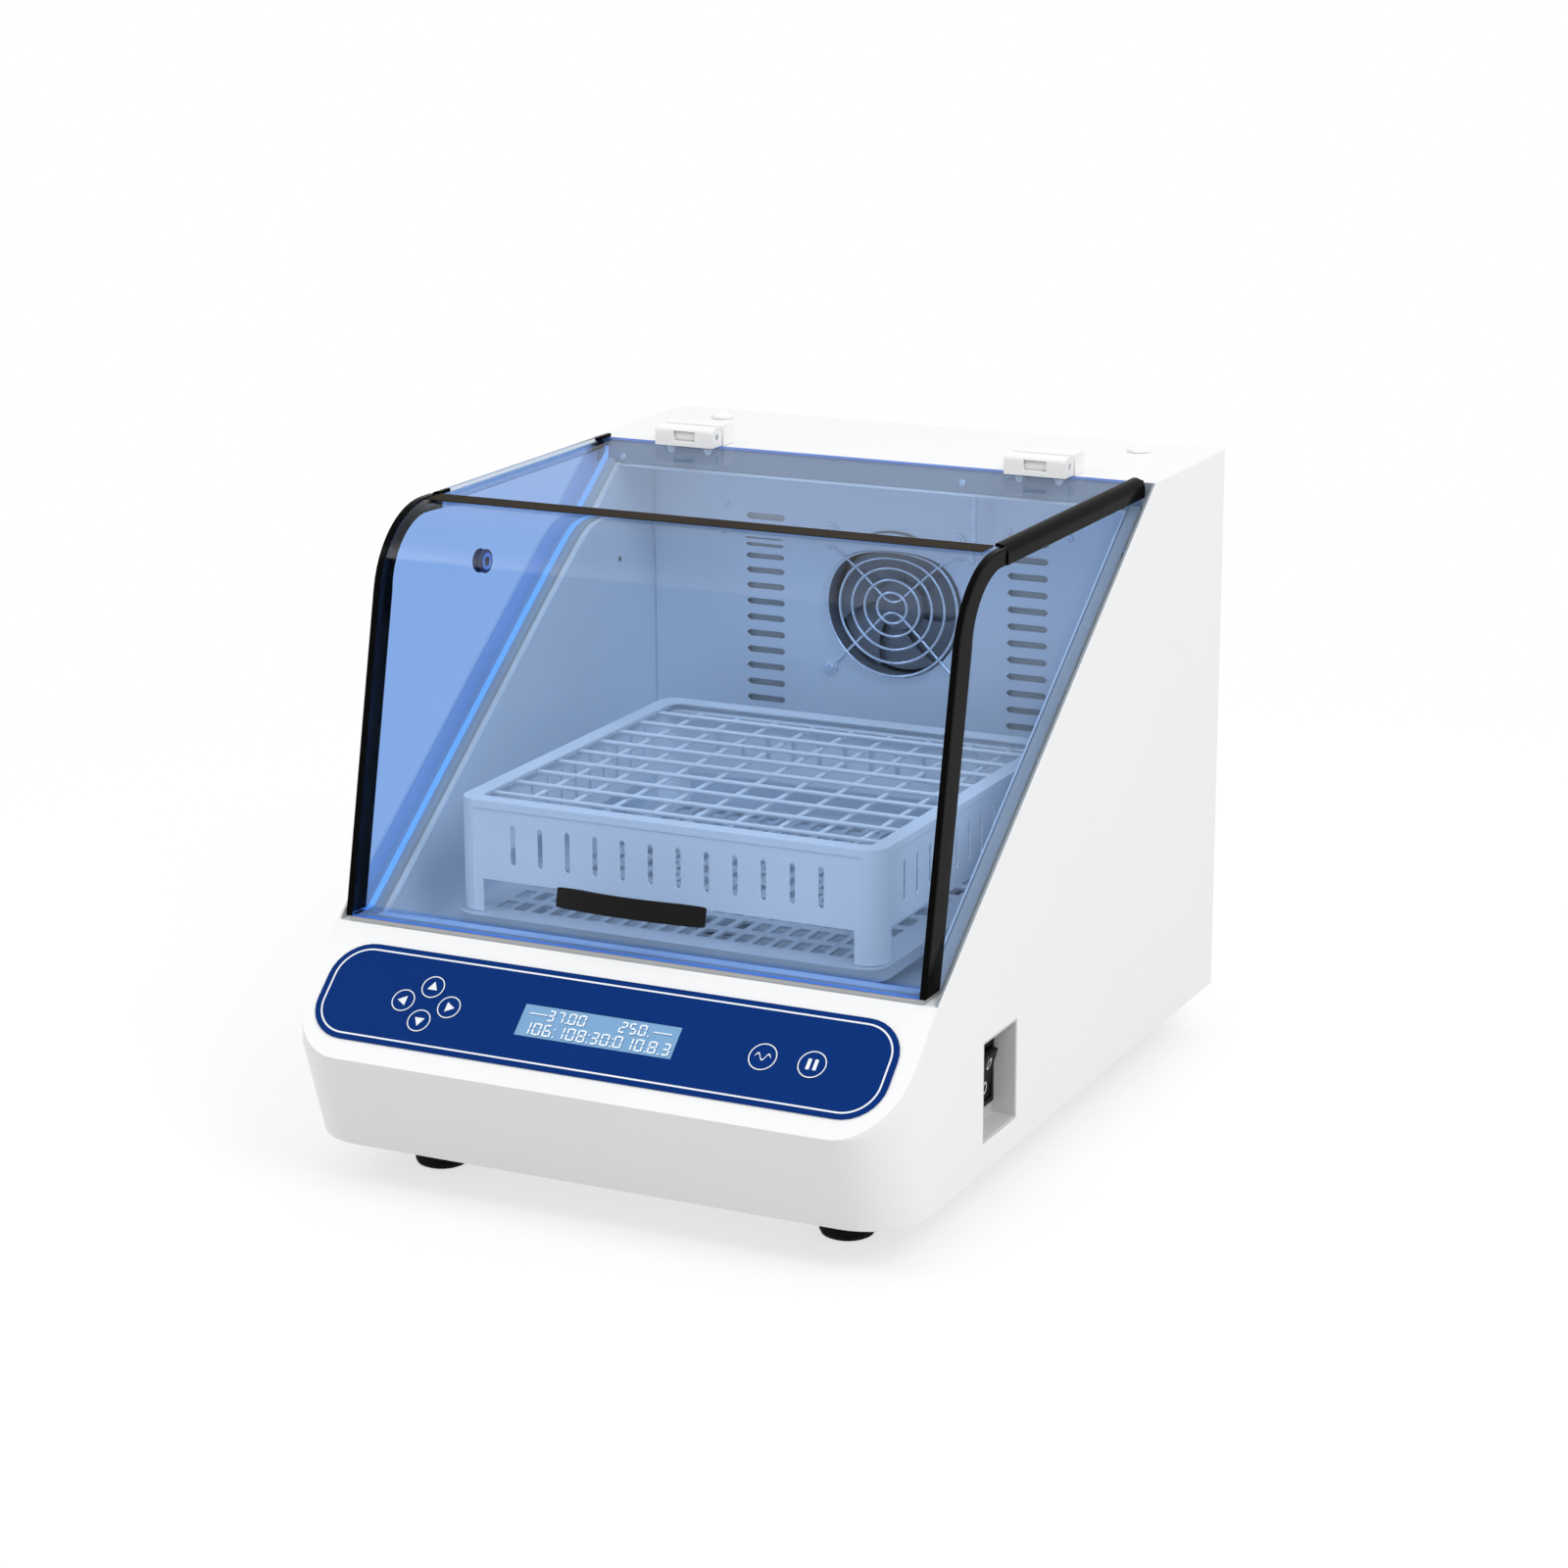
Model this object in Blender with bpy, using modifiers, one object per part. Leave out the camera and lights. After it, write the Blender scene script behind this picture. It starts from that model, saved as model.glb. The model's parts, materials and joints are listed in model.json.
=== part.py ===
"""Benchtop shaking incubator with a hinged acrylic lid over an orbiting tube rack.

The model is in metres with +Z up. Its origin is on the bench under the middle of the casing.
+X is to the right of someone who faces the control panel, and the panel faces -Y.
Places are given as x, depth and height: depth runs forward from the casing's rear plane, and
height runs up from the casing's bottom edge.
"""

from math import acos, asin, atan2, cos, hypot, pi, radians, sin, tan

import bmesh
import bpy
from mathutils import Matrix, Vector

# Clearances
GAP = 0.0003
PART_LINE = 0.0008
BEYOND = 0.02

# Casing
CASE_WIDTH = 0.4618
CASE_DEPTH = 0.6184
CASE_HEIGHT = 0.4241
CASE_SHEET = 0.002
CASE_CORNER = 0.045
CORNER_STEPS = 10
TOP_DEPTH = 0.1494
SILL_DEPTH = 0.5371
SILL_HEIGHT = 0.1428
LIP_HEIGHT = 0.0713
LIP_LAND = 0.0005
FRONT_UNDERCUT = 0.0247
REAR_RECESS = 0.004
COVER_SHEET = 0.0015
PAN_SHEET = 0.002
PAN_FLANGE = 0.012

# Feet
FOOT_HEIGHT = 0.033
FOOT_RADIUS = 0.0195
FOOT_TAPER = 0.0012
FOOT_EDGE = 0.004
FOOT_INSET = 0.072

# Chamber
WALL_SPACE = 0.0245
SEAT_DROP = 0.0175
LINER_SHEET = 0.0015
CHAMBER_REAR = 0.0953
CHAMBER_FLOOR = 0.125
SHAFT_HOLE_RADIUS = 0.013
PORT_RADIUS = 0.0025
PORT_DEPTH = 0.1534
PORT_HEIGHT = 0.3307

# Fan, guard and air slots
FAN_HEIGHT = 0.3
FAN_SIZE = 0.12
FAN_BODY = 0.025
FAN_CORNER = 0.005
FAN_BORE = 0.056
FAN_OPENING = 0.057
FAN_HUB = 0.021
FAN_TIP = 0.053
FAN_BLADES = 7
IMPELLER_SETBACK = 0.005
BLADE_CHORD = 0.016
BLADE_THICKNESS = 0.002
BLADE_PITCH = radians(40)
STRUT_THICKNESS = 0.003
STRUT_ANGLE = radians(20)
GUARD_WIRE = 0.0011
GUARD_LIFT = 0.0014
GUARD_RING_LIFT = 0.0019
GUARD_KNEE = 0.0075
GUARD_RING_STEPS = 14
GUARD_MORE_STEPS = 3
GUARD_FIRST_RING = 0.0125
GUARD_RING_STEP = 0.0105
GUARD_RINGS = 5
GUARD_SCREWS = 0.0525
EYELET_RADIUS = 0.0045
EYELET_HOLE = 0.0022
EYELET_THICKNESS = 0.0015
AIR_SLOTS = 12
AIR_SLOT_PITCH = 0.013
AIR_SLOT_LENGTH = 0.0335
AIR_SLOT_WIDTH = 0.005
AIR_SLOT_CENTRE = 0.10925
AIR_SLOT_BOTTOM = 0.2155

# Heater and temperature probe
HEATER_TUBE = 0.004
HEATER_HALF_WIDTH = 0.08
HEATER_PITCH = 0.022
HEATER_PASSES = 4
HEATER_BOTTOM = 0.142
HEATER_SETBACK = 0.022
PROBE_RADIUS = 0.0025
PROBE_LENGTH = 0.05
PROBE_X = 0.073
PROBE_DEPTH = 0.112
GLAND_RADIUS = 0.006
GLAND_LENGTH = 0.006

# Lid
LID_SIDE_GAP = 0.0079
LID_SHEET = 0.004
LID_PROUD = 0.0005
LID_REAR_GAP = 0.0016
LID_BEND = 0.068
BEND_STEPS = 12
LID_FOOT_LIFT = 0.0039
SEAM_DEPTH = 0.4185
SEAM_STRIP = 0.0195
STRIP_THICKNESS = 0.0015
FRONT_TRIM_WIDTH = 0.022
FRONT_TRIM_LAP = 0.012
TOP_TRIM_INSET = 0.007
TOP_TRIM_DROP = 0.0115
TOP_TRIM_PROUD = 0.0027
TOP_TRIM_RADIUS = 0.008
SEAL_THICKNESS = 0.0037
SEAL_WIDTH = 0.0096
SILL_SEAL = 0.0108
GROMMET_DEPTH = 0.3434
GROMMET_HEIGHT = 0.3643
GROMMET_RADIUS = 0.009
GROMMET_BARREL = 0.0065
GROMMET_BORE = 0.003
GROMMET_RIM = 0.002

# Lid handle
HANDLE_LENGTH = 0.116
HANDLE_RISE = 0.011
HANDLE_BAND = 0.0145
HANDLE_CROWN = 0.0028
HANDLE_PAD = 0.02
HANDLE_HEIGHT = 0.1795
BOW_STEPS = 8

# Hinges
HINGE_X = 0.1435
HINGE_LENGTH = 0.049
HINGE_HEIGHT = 0.0155
HINGE_FORWARD = 0.0078
HINGE_BASE_DEPTH = 0.0185
KNUCKLE_RADIUS = 0.005
KNUCKLE_LENGTH = 0.018
WINDOW_HALF = 0.00375
ARM_TOP = 0.3
ARM_BOTTOM = 0.9
HINGE_PIN = 0.002
HINGE_SWEEP = 0.0105
HINGE_ROUND = 0.005

# Plugs on the top and the pin on the right flange
PLUG_X = 0.1755
PLUG_DEPTH = 0.037
PLUG_RADIUS = 0.0085
PLUG_RISE = 0.0055
PLUG_RIM = 0.0022
PLUG_SHOULDER = 0.003
PLUG_SHOULDER_RADIUS = 0.0051
PLUG_CREST = 0.005
PLUG_CREST_RADIUS = 0.0024
PLUG_STEM = 0.003
PIN_DEPTH = 0.186
PIN_RADIUS = 0.0025

# Control panel
OVERLAY_WIDTH = 0.435
OVERLAY_HEIGHT = 0.077
OVERLAY_CORNER = 0.029
OVERLAY_SHEET = 0.0008
SCREEN_WIDTH = 0.12
SCREEN_HEIGHT = 0.0252
SCREEN_BLOCK = 0.009
SCREEN_MARGIN = 0.008
KEY_ROW = -0.0022
ARROW_X = -0.1337
ARROW_SPREAD_X = 0.0182
ARROW_SPREAD_V = 0.0136
ARROW_RADIUS = 0.009
RUN_X = 0.1241
STOP_X = 0.1602
RUN_RADIUS = 0.0105
KEY_PROUD = 0.0003
KEY_THICKNESS = 0.0017
KEY_STEM = 0.0025
KEY_STEM_LENGTH = 0.0056
KEY_TRAVEL = 0.0005
BOARD_SHEET = 0.0016
BOARD_MARGIN = 0.02
TACT_SIZE = 0.006
STANDOFF_RADIUS = 0.003

# Mains switch recess
RECESS_REAR = 0.3991
RECESS_WIDTH = 0.0593
RECESS_BOTTOM = 0.0206
RECESS_HEIGHT = 0.0729
RECESS_DEEP = 0.0185
RECESS_WALL = 0.0015
SWITCH_WIDTH = 0.029
SWITCH_HEIGHT = 0.046
SWITCH_EDGE = 0.0022
SWITCH_BOTTOM = 0.0318
SWITCH_BEZEL = 0.002
SWITCH_BODY = 0.017
SWITCH_RIM = 0.003
ROCKER_TILT = radians(10)
ROCKER_FACE = 0.003
ROCKER_RISE = 0.0018
ROCKER_KEEL = 0.009

# Mains inlet, power supply
INLET_X = 0.15
INLET_HEIGHT = 0.055
INLET_WIDTH = 0.027
INLET_TALL = 0.0195
INLET_FLANGE = 0.006
INLET_CORNER = 0.003
INLET_FLANGE_SHEET = 0.0025
INLET_BODY = 0.02
INLET_WALL = 0.0015
INLET_PIN_WIDTH = 0.004
INLET_PIN_SHEET = 0.002
INLET_PIN_LENGTH = 0.012
INLET_PIN_SPREAD = 0.007
INLET_PIN_LOW = -0.0015
INLET_PIN_HIGH = 0.0025
SUPPLY_X = -0.125
SUPPLY_WIDTH = 0.13
SUPPLY_LENGTH = 0.07
SUPPLY_HEIGHT = 0.045
SUPPLY_REAR = 0.012
SUPPLY_EDGE = 0.002
VENT_ROWS = 7
VENT_PITCH = 0.01
VENT_LENGTH = 0.07
VENT_WIDTH = 0.004
VENT_X = 0.07
VENT_BOTTOM = 0.1

# Orbital drive
ORBIT_THROW = 0.01
ORBIT_FORWARD = 0.0165
REST_PHASE = radians(70)
CRANK_SPREAD = 0.07
IDLER_X = 0.11
DECK_WIDTH = 0.3
DECK_DEPTH = 0.24
DECK_SHEET = 0.003
DECK_TOP = 0.045
MAIN_SHAFT = 0.006
IDLER_SHAFT = 0.005
BEARING_HEIGHT = 0.035
BEARING_RADIUS = 0.022
IDLER_BEARING_RADIUS = 0.016
SHAFT_TAIL = 0.006
DRIVE_STEP = 0.004
PULLEY_RADIUS = 0.05
MOTOR_PULLEY_RADIUS = 0.015
PULLEY_HEIGHT = 0.014
PULLEY_FLANGE = 0.0015
PULLEY_RIM = 0.0022
BELT_THICKNESS = 0.0015
WEIGHT_RADIUS = 0.042
WEIGHT_HEIGHT = 0.012
CRANK_LIFT = 0.001
CRANK_DISC = 0.005
MAIN_DISC = 0.02
IDLER_DISC = 0.016
CRANK_PIN = 0.004
PIN_LENGTH = 0.011
MOTOR_X = -0.1
MOTOR_RADIUS = 0.028
MOTOR_HEIGHT = 0.034
MOTOR_SHAFT = 0.003
MOTOR_SHAFT_DEEP = 0.016
MOTOR_EDGE = 0.002

# Shaking platform
PLATFORM_SIDE_CLEAR = 0.0299
PLATFORM_FRONT_CLEAR = 0.011
PLATFORM_SHEET = 0.002
PLATFORM_SKIRT = 0.009
PLATFORM_CORNER = 0.018
PLATFORM_TOP = 0.146
BOSS_RADIUS = 0.01
HOLE_COLUMNS = 20
HOLE_PITCH_X = 0.0145
HOLE_WIDTH = 0.0095
HOLE_ROWS = 4
HOLE_PITCH_Y = 0.076
HOLE_LENGTH = 0.062

# Tube rack
RACK_SIDE_MARGIN = 0.0025
RACK_END_MARGIN = 0.0075
RACK_HEIGHT = 0.0817
RACK_SHEET = 0.002
RACK_CORNER = 0.014
RACK_RIM = 0.0125
RACK_LEG_GAP = 0.024
RACK_LEG_WIDTH = 0.02
RACK_SLOTS = 12
RACK_SLOT_PITCH = 0.0217
RACK_SLOT_WIDTH = 0.004
RACK_SLOT_BOTTOM = 0.036
RACK_SLOT_HEIGHT = 0.03
WIRE_COUNT = 9
WIRE_PITCH_X = 0.032
WIRE_PITCH_Y = 0.0315
WIRE_RADIUS = 0.0016
RAIL_RADIUS = 0.0018
RAIL_OUTSET = 0.004

# Places worked out from the driving dimensions
REAR_Y = CASE_DEPTH / 2
CASE_HALF = CASE_WIDTH / 2
CASE_INNER = CASE_HALF - CASE_SHEET
SLOPE = atan2(CASE_HEIGHT - SILL_HEIGHT, SILL_DEPTH - TOP_DEPTH)
PANEL_SLOPE = atan2(SILL_HEIGHT - LIP_HEIGHT, CASE_DEPTH - SILL_DEPTH)
UNDERCUT = FRONT_UNDERCUT / LIP_HEIGHT
FRONT_SHIFT = CASE_SHEET * hypot(1, UNDERCUT)


def slope_height(depth, drop):
    """Height of the line that runs parallel to the casing's slope, drop below it."""
    return CASE_HEIGHT - (depth - TOP_DEPTH) * tan(SLOPE) - drop / cos(SLOPE)


def slope_depth(height, drop):
    """Depth at which the line drop below the casing's slope reaches a height."""
    return TOP_DEPTH + (CASE_HEIGHT - drop / cos(SLOPE) - height) / tan(SLOPE)


def panel_height(depth, inset):
    """Height of the control panel's plane, or of one inset below it, at a depth."""
    return SILL_HEIGHT - (depth - SILL_DEPTH) * tan(PANEL_SLOPE) - inset / cos(PANEL_SLOPE)


SILL_BACK = slope_depth(SILL_HEIGHT, SEAT_DROP) + LINER_SHEET
HEADER_BOTTOM = slope_height(TOP_DEPTH, SEAT_DROP)
CHAMBER_HALF = CASE_HALF - WALL_SPACE
CHAMBER_FRONT = SILL_BACK - GAP - LINER_SHEET
CHAMBER_CEILING = HEADER_BOTTOM - GAP - LINER_SHEET
LINER_HALF = CHAMBER_HALF + LINER_SHEET
WALL_BACK = CHAMBER_REAR - LINER_SHEET
PAN_FLOOR = GAP + PAN_SHEET

LID_HALF = CASE_INNER - LID_SIDE_GAP
LID_TOP = CASE_HEIGHT + LID_PROUD
LID_REAR = TOP_DEPTH + LID_REAR_GAP
LID_BOTTOM = SILL_HEIGHT + LID_FOOT_LIFT
LID_LEAN = radians(12.48)
LID_PLANE = cos(LID_LEAN) * SILL_DEPTH + sin(LID_LEAN) * LID_BOTTOM
BEND_HEIGHT = LID_TOP - LID_BEND
BEND_DEPTH = (LID_PLANE - LID_BEND - sin(LID_LEAN) * BEND_HEIGHT) / cos(LID_LEAN)
TRIM_JOINT = BEND_DEPTH - FRONT_TRIM_LAP
LID_SEAT_DROP = SEAT_DROP - SEAL_THICKNESS - 2 * GAP
HINGE_DEPTH = LID_REAR + HINGE_FORWARD
HINGE_AXIS_HEIGHT = LID_TOP + GAP + HINGE_HEIGHT / 2

ORBIT_DEPTH = (CHAMBER_REAR + CHAMBER_FRONT) / 2 + ORBIT_FORWARD
ORBIT_X = ORBIT_THROW * cos(REST_PHASE)
ORBIT_D = ORBIT_THROW * sin(REST_PHASE)
MAIN_CRANK = (0, ORBIT_DEPTH + CRANK_SPREAD)
IDLERS = {"left": (-IDLER_X, ORBIT_DEPTH - CRANK_SPREAD), "right": (IDLER_X, ORBIT_DEPTH - CRANK_SPREAD)}
PULLEY_BOTTOM = DECK_TOP + BEARING_HEIGHT + DRIVE_STEP
PULLEY_TOP = PULLEY_BOTTOM + PULLEY_HEIGHT
WEIGHT_BOTTOM = PULLEY_TOP + DRIVE_STEP
DISC_BOTTOM = CHAMBER_FLOOR + CRANK_LIFT
DISC_TOP = DISC_BOTTOM + CRANK_DISC
PLATFORM_X = ORBIT_X
PLATFORM_D = ORBIT_DEPTH + ORBIT_D
PLATFORM_HALF = CHAMBER_HALF - ORBIT_THROW - PLATFORM_SIDE_CLEAR
PLATFORM_HALF_D = CHAMBER_FRONT - ORBIT_DEPTH - ORBIT_THROW - PLATFORM_FRONT_CLEAR
RACK_HALF = PLATFORM_HALF - RACK_SIDE_MARGIN
RACK_HALF_D = PLATFORM_HALF_D - RACK_END_MARGIN
RACK_BOTTOM = PLATFORM_TOP + GAP
RACK_TOP = RACK_BOTTOM + RACK_HEIGHT

for leftover in list(bpy.data.objects):
    bpy.data.objects.remove(leftover)
PARTS = bpy.data.collections.new("shaking_incubator")
CUTTERS = bpy.data.collections.new("cutters")
bpy.context.scene.collection.children.link(PARTS)
bpy.context.scene.collection.children.link(CUTTERS)


def material(name, colour, roughness, metallic=0.0, alpha=1.0):
    """A Principled material."""
    made = bpy.data.materials.new(name)
    made.use_nodes = True
    shader = made.node_tree.nodes["Principled BSDF"]
    shader.inputs["Base Color"].default_value = (*colour, 1.0)
    shader.inputs["Roughness"].default_value = roughness
    shader.inputs["Metallic"].default_value = metallic
    shader.inputs["Alpha"].default_value = alpha
    made.diffuse_color = (*colour, alpha)
    return made


WHITE_PAINT = material("white_paint", (0.84, 0.84, 0.84), 0.35)
STAINLESS = material("stainless", (0.62, 0.63, 0.65), 0.28, metallic=1.0)
ZINC_PLATE = material("zinc_plate", (0.55, 0.56, 0.58), 0.4, metallic=1.0)
BRIGHT_WIRE = material("bright_wire", (0.75, 0.76, 0.78), 0.2, metallic=1.0)
RACK_PAINT = material("rack_paint", (0.72, 0.75, 0.8), 0.35)
BLUE_ACRYLIC = material("blue_acrylic", (0.24, 0.4, 0.8), 0.06, alpha=0.45)
BLACK_TRIM = material("black_trim", (0.015, 0.014, 0.013), 0.25)
BLACK_PLASTIC = material("black_plastic", (0.02, 0.02, 0.02), 0.45)
RUBBER = material("rubber", (0.014, 0.014, 0.014), 0.75)
GREY_SEAL = material("grey_seal", (0.5, 0.5, 0.49), 0.7)
WHITE_PLASTIC = material("white_plastic", (0.84, 0.84, 0.83), 0.4)
NAVY_LABEL = material("navy_label", (0.006, 0.04, 0.2), 0.3)
SCREEN_GLASS = material("screen_glass", (0.2, 0.4, 0.66), 0.15)
CIRCUIT_BOARD = material("circuit_board", (0.02, 0.16, 0.06), 0.5)
CAST_METAL = material("cast_metal", (0.4, 0.41, 0.42), 0.5, metallic=1.0)
STEEL = material("steel", (0.5, 0.5, 0.51), 0.3, metallic=1.0)


def place(x, depth, height):
    """World point of an x, a depth and a height."""
    return Vector((x, REAR_Y - depth, FOOT_HEIGHT + height))


def frame(origin, across, up):
    """Matrix that takes (across, up, outward) coordinates to the world."""
    outward = Vector(across).cross(Vector(up))
    turn = Matrix((across, up, outward)).transposed().to_4x4()
    return Matrix.Translation(origin) @ turn


SIDE = frame(place(0, 0, 0), (0, -1, 0), (0, 0, 1))
FRONT = frame(place(0, 0, 0), (1, 0, 0), (0, 0, 1))
PLAN = frame(place(0, 0, 0), (1, 0, 0), (0, 1, 0))
PANEL_MIDDLE = (SILL_DEPTH + CASE_DEPTH) / 2
PANEL = frame(
    place(0, PANEL_MIDDLE, panel_height(PANEL_MIDDLE, 0)),
    (1, 0, 0),
    (0, cos(PANEL_SLOPE), sin(PANEL_SLOPE)),
)
HANDLE_DEPTH = (LID_PLANE - sin(LID_LEAN) * HANDLE_HEIGHT) / cos(LID_LEAN)
LID_FRONT = frame(
    place(0, HANDLE_DEPTH, HANDLE_HEIGHT), (1, 0, 0), (0, sin(LID_LEAN), cos(LID_LEAN))
)


def solid(name, shape, matrix):
    """An object from a bmesh, with its faces pointing out and smooth round its curves."""
    bmesh.ops.recalc_face_normals(shape, faces=shape.faces)
    mesh = bpy.data.meshes.new(name)
    shape.to_mesh(mesh)
    shape.free()
    mesh.shade_smooth()
    mesh.set_sharp_from_angle(angle=radians(35))
    piece = bpy.data.objects.new(name, mesh)
    piece.matrix_world = matrix
    PARTS.objects.link(piece)
    return piece


def as_mesh(source, name):
    """Replaces a curve or a screwed profile by the closed mesh that it makes."""
    graph = bpy.context.evaluated_depsgraph_get()
    mesh = bpy.data.meshes.new_from_object(source.evaluated_get(graph))
    shape = bmesh.new()
    shape.from_mesh(mesh)
    bmesh.ops.remove_doubles(shape, verts=shape.verts, dist=0.000005)
    piece = solid(name, shape, source.matrix_world.copy())
    bpy.data.meshes.remove(mesh)
    bpy.data.objects.remove(source)
    return piece


def frame_box(name, base, across, up, outward):
    """A box between low and high values along a frame's three axes."""
    low, high = Vector((across[0], up[0], outward[0])), Vector((across[1], up[1], outward[1]))
    shape = bmesh.new()
    bmesh.ops.create_cube(shape, size=1.0)
    bmesh.ops.scale(shape, vec=high - low, verts=shape.verts)
    return solid(name, shape, base @ Matrix.Translation((low + high) / 2))


def box(name, x, depth, height):
    """A box between low and high values of x, depth and height."""
    return frame_box(name, FRONT, x, height, depth)


def plate(name, outlines, low, high, base):
    """Flat outlines in a frame, the first its rim and the rest its holes, thick from low to high."""
    curve = bpy.data.curves.new(name, "CURVE")
    curve.dimensions = "2D"
    curve.fill_mode = "BOTH"
    curve.extrude = (high - low) / 2
    for outline in outlines:
        spline = curve.splines.new("POLY")
        spline.points.add(len(outline) - 1)
        spline.use_cyclic_u = True
        for point, (across, up) in zip(spline.points, outline):
            point.co = (across, up, 0, 1)
    flat = bpy.data.objects.new(name + "_outline", curve)
    flat.matrix_world = base @ Matrix.Translation((0, 0, (low + high) / 2))
    CUTTERS.objects.link(flat)
    return as_mesh(flat, name)


def side_plate(name, outlines, x_low, x_high):
    """A plate from outlines of depth and height."""
    return plate(name, outlines, -x_high, -x_low, SIDE)


def front_plate(name, outlines, depth_low, depth_high):
    """A plate from outlines of x and height."""
    return plate(name, outlines, depth_low, depth_high, FRONT)


def plan_plate(name, outlines, height_low, height_high):
    """A plate from outlines of x and depth."""
    flipped = [[(x, -depth) for x, depth in outline] for outline in outlines]
    return plate(name, flipped, height_low, height_high, PLAN)


def rods(name, radius, spans, sides, twist=0.0):
    """Straight round bars between pairs of world points, their facets twisted by an angle."""
    shape = bmesh.new()
    for start, end in spans:
        along = end - start
        turn = along.to_track_quat("Z", "Y").to_matrix().to_4x4()
        bmesh.ops.create_cone(
            shape, cap_ends=True, segments=sides, radius1=radius, radius2=radius,
            depth=along.length,
            matrix=Matrix.Translation((start + end) / 2) @ turn @ Matrix.Rotation(twist, 4, "Z"),
        )
    return solid(name, shape, Matrix())


def turned(name, profile, base, steps, closed=False):
    """A profile of radius and height, down its outer side, turned about a frame's third axis."""
    shape = bmesh.new()
    points = [shape.verts.new((radius, 0, height)) for radius, height in profile]
    for first, second in zip(points, points[1:]):
        shape.edges.new((first, second))
    if closed:
        shape.edges.new((points[-1], points[0]))
    mesh = bpy.data.meshes.new(name)
    shape.to_mesh(mesh)
    shape.free()
    source = bpy.data.objects.new(name + "_profile", mesh)
    source.matrix_world = base
    CUTTERS.objects.link(source)
    screw = source.modifiers.new("turn", "SCREW")
    screw.steps = steps
    screw.render_steps = steps
    screw.use_merge_vertices = True
    screw.merge_threshold = 0.00001
    return as_mesh(source, name)


def wires(name, radius, paths, cyclic, resolution=1):
    """Round wires along lists of world points."""
    curve = bpy.data.curves.new(name, "CURVE")
    curve.dimensions = "3D"
    curve.bevel_depth = radius
    curve.bevel_resolution = resolution
    curve.use_fill_caps = True
    for path in paths:
        spline = curve.splines.new("POLY")
        spline.points.add(len(path) - 1)
        spline.use_cyclic_u = cyclic
        for point, spot in zip(spline.points, path):
            point.co = (*spot, 1)
    source = bpy.data.objects.new(name + "_path", curve)
    CUTTERS.objects.link(source)
    return as_mesh(source, name)


def loft(name, rings):
    """A closed solid through rings of world points, all with as many points."""
    shape = bmesh.new()
    rows = [[shape.verts.new(point) for point in ring] for ring in rings]
    count = len(rows[0])
    for lower, upper in zip(rows, rows[1:]):
        for here in range(count):
            after = (here + 1) % count
            shape.faces.new((lower[here], lower[after], upper[after], upper[here]))
    shape.faces.new(rows[0])
    shape.faces.new(rows[-1])
    return solid(name, shape, Matrix())


def combine(piece, other, operation):
    """Leaves other as a guide that cuts, joins or limits a piece."""
    PARTS.objects.unlink(other)
    CUTTERS.objects.link(other)
    other.hide_render = True
    other.display_type = "WIRE"
    boolean = piece.modifiers.new(other.name, "BOOLEAN")
    boolean.operation = operation
    boolean.solver = "EXACT"
    boolean.object = other


def cut(piece, *cutters):
    for cutter in cutters:
        combine(piece, cutter, "DIFFERENCE")
    return piece


def join(piece, *additions):
    for addition in additions:
        combine(piece, addition, "UNION")
    return piece


def merged(name, pieces):
    """One object with the bodies of several that don't touch, for cutting a whole pattern."""
    shape = bmesh.new()
    for piece in pieces:
        start = len(shape.verts)
        shape.from_mesh(piece.data)
        shape.verts.ensure_lookup_table()
        bmesh.ops.transform(shape, matrix=piece.matrix_world, verts=shape.verts[start:])
        bpy.data.objects.remove(piece)
    return solid(name, shape, Matrix())


def soften(piece, width, segments=2):
    """Rounds a piece's edges."""
    bevel = piece.modifiers.new("soften", "BEVEL")
    bevel.width = width
    bevel.segments = segments
    bevel.limit_method = "ANGLE"
    bevel.angle_limit = radians(40)
    return piece


def finish(piece, coating, carrier=None):
    """Gives a piece its material and the empty that it moves with."""
    piece.data.materials.clear()
    piece.data.materials.append(coating)
    if carrier:
        piece.parent = carrier
        piece.matrix_parent_inverse = Matrix.Translation(carrier.location).inverted()
    return piece


def axis(name, origin):
    """An empty on a joint's axis."""
    empty = bpy.data.objects.new(name, None)
    empty.empty_display_size = 0.03
    empty.location = origin
    PARTS.objects.link(empty)
    return empty


def circle(radius, steps, across=0.0, up=0.0):
    turns = [2 * pi * step / steps for step in range(steps)]
    return [(across + radius * cos(turn), up + radius * sin(turn)) for turn in turns]


def arc(radius, start, end, steps, across=0.0, up=0.0):
    turns = [start + (end - start) * step / steps for step in range(steps + 1)]
    return [(across + radius * cos(turn), up + radius * sin(turn)) for turn in turns]


def rounded(width, height, radius, steps, across=0.0, up=0.0):
    """A rectangle with rounded corners about a centre."""
    outline = []
    corners = ((1, 1, 0), (-1, 1, pi / 2), (-1, -1, pi), (1, -1, 3 * pi / 2))
    for side, end, start in corners:
        centre_across = across + side * (width / 2 - radius)
        centre_up = up + end * (height / 2 - radius)
        outline += arc(radius, start, start + pi / 2, steps, centre_across, centre_up)
    return outline


def slot(length, width, across, up, upright=False):
    """A slot with round ends about a centre."""
    reach = (length - width) / 2
    right = arc(width / 2, -pi / 2, pi / 2, 2, reach)
    left = arc(width / 2, pi / 2, 3 * pi / 2, 2, -reach)
    outline = right + left
    if upright:
        outline = [(v, u) for u, v in outline]
    return [(across + u, up + v) for u, v in outline]


def spread(count, pitch):
    """Evenly pitched values about zero."""
    return [(index - (count - 1) / 2) * pitch for index in range(count)]


def case_plan(half, front, rear, corner):
    """Plan of the casing with rounded front corners, as x and depth."""
    right = [(half, rear)]
    right += [(x, -y) for x, y in arc(corner, 0, -pi / 2, CORNER_STEPS, half - corner, corner - front)]
    return right + [(-x, depth) for x, depth in reversed(right)]


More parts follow.
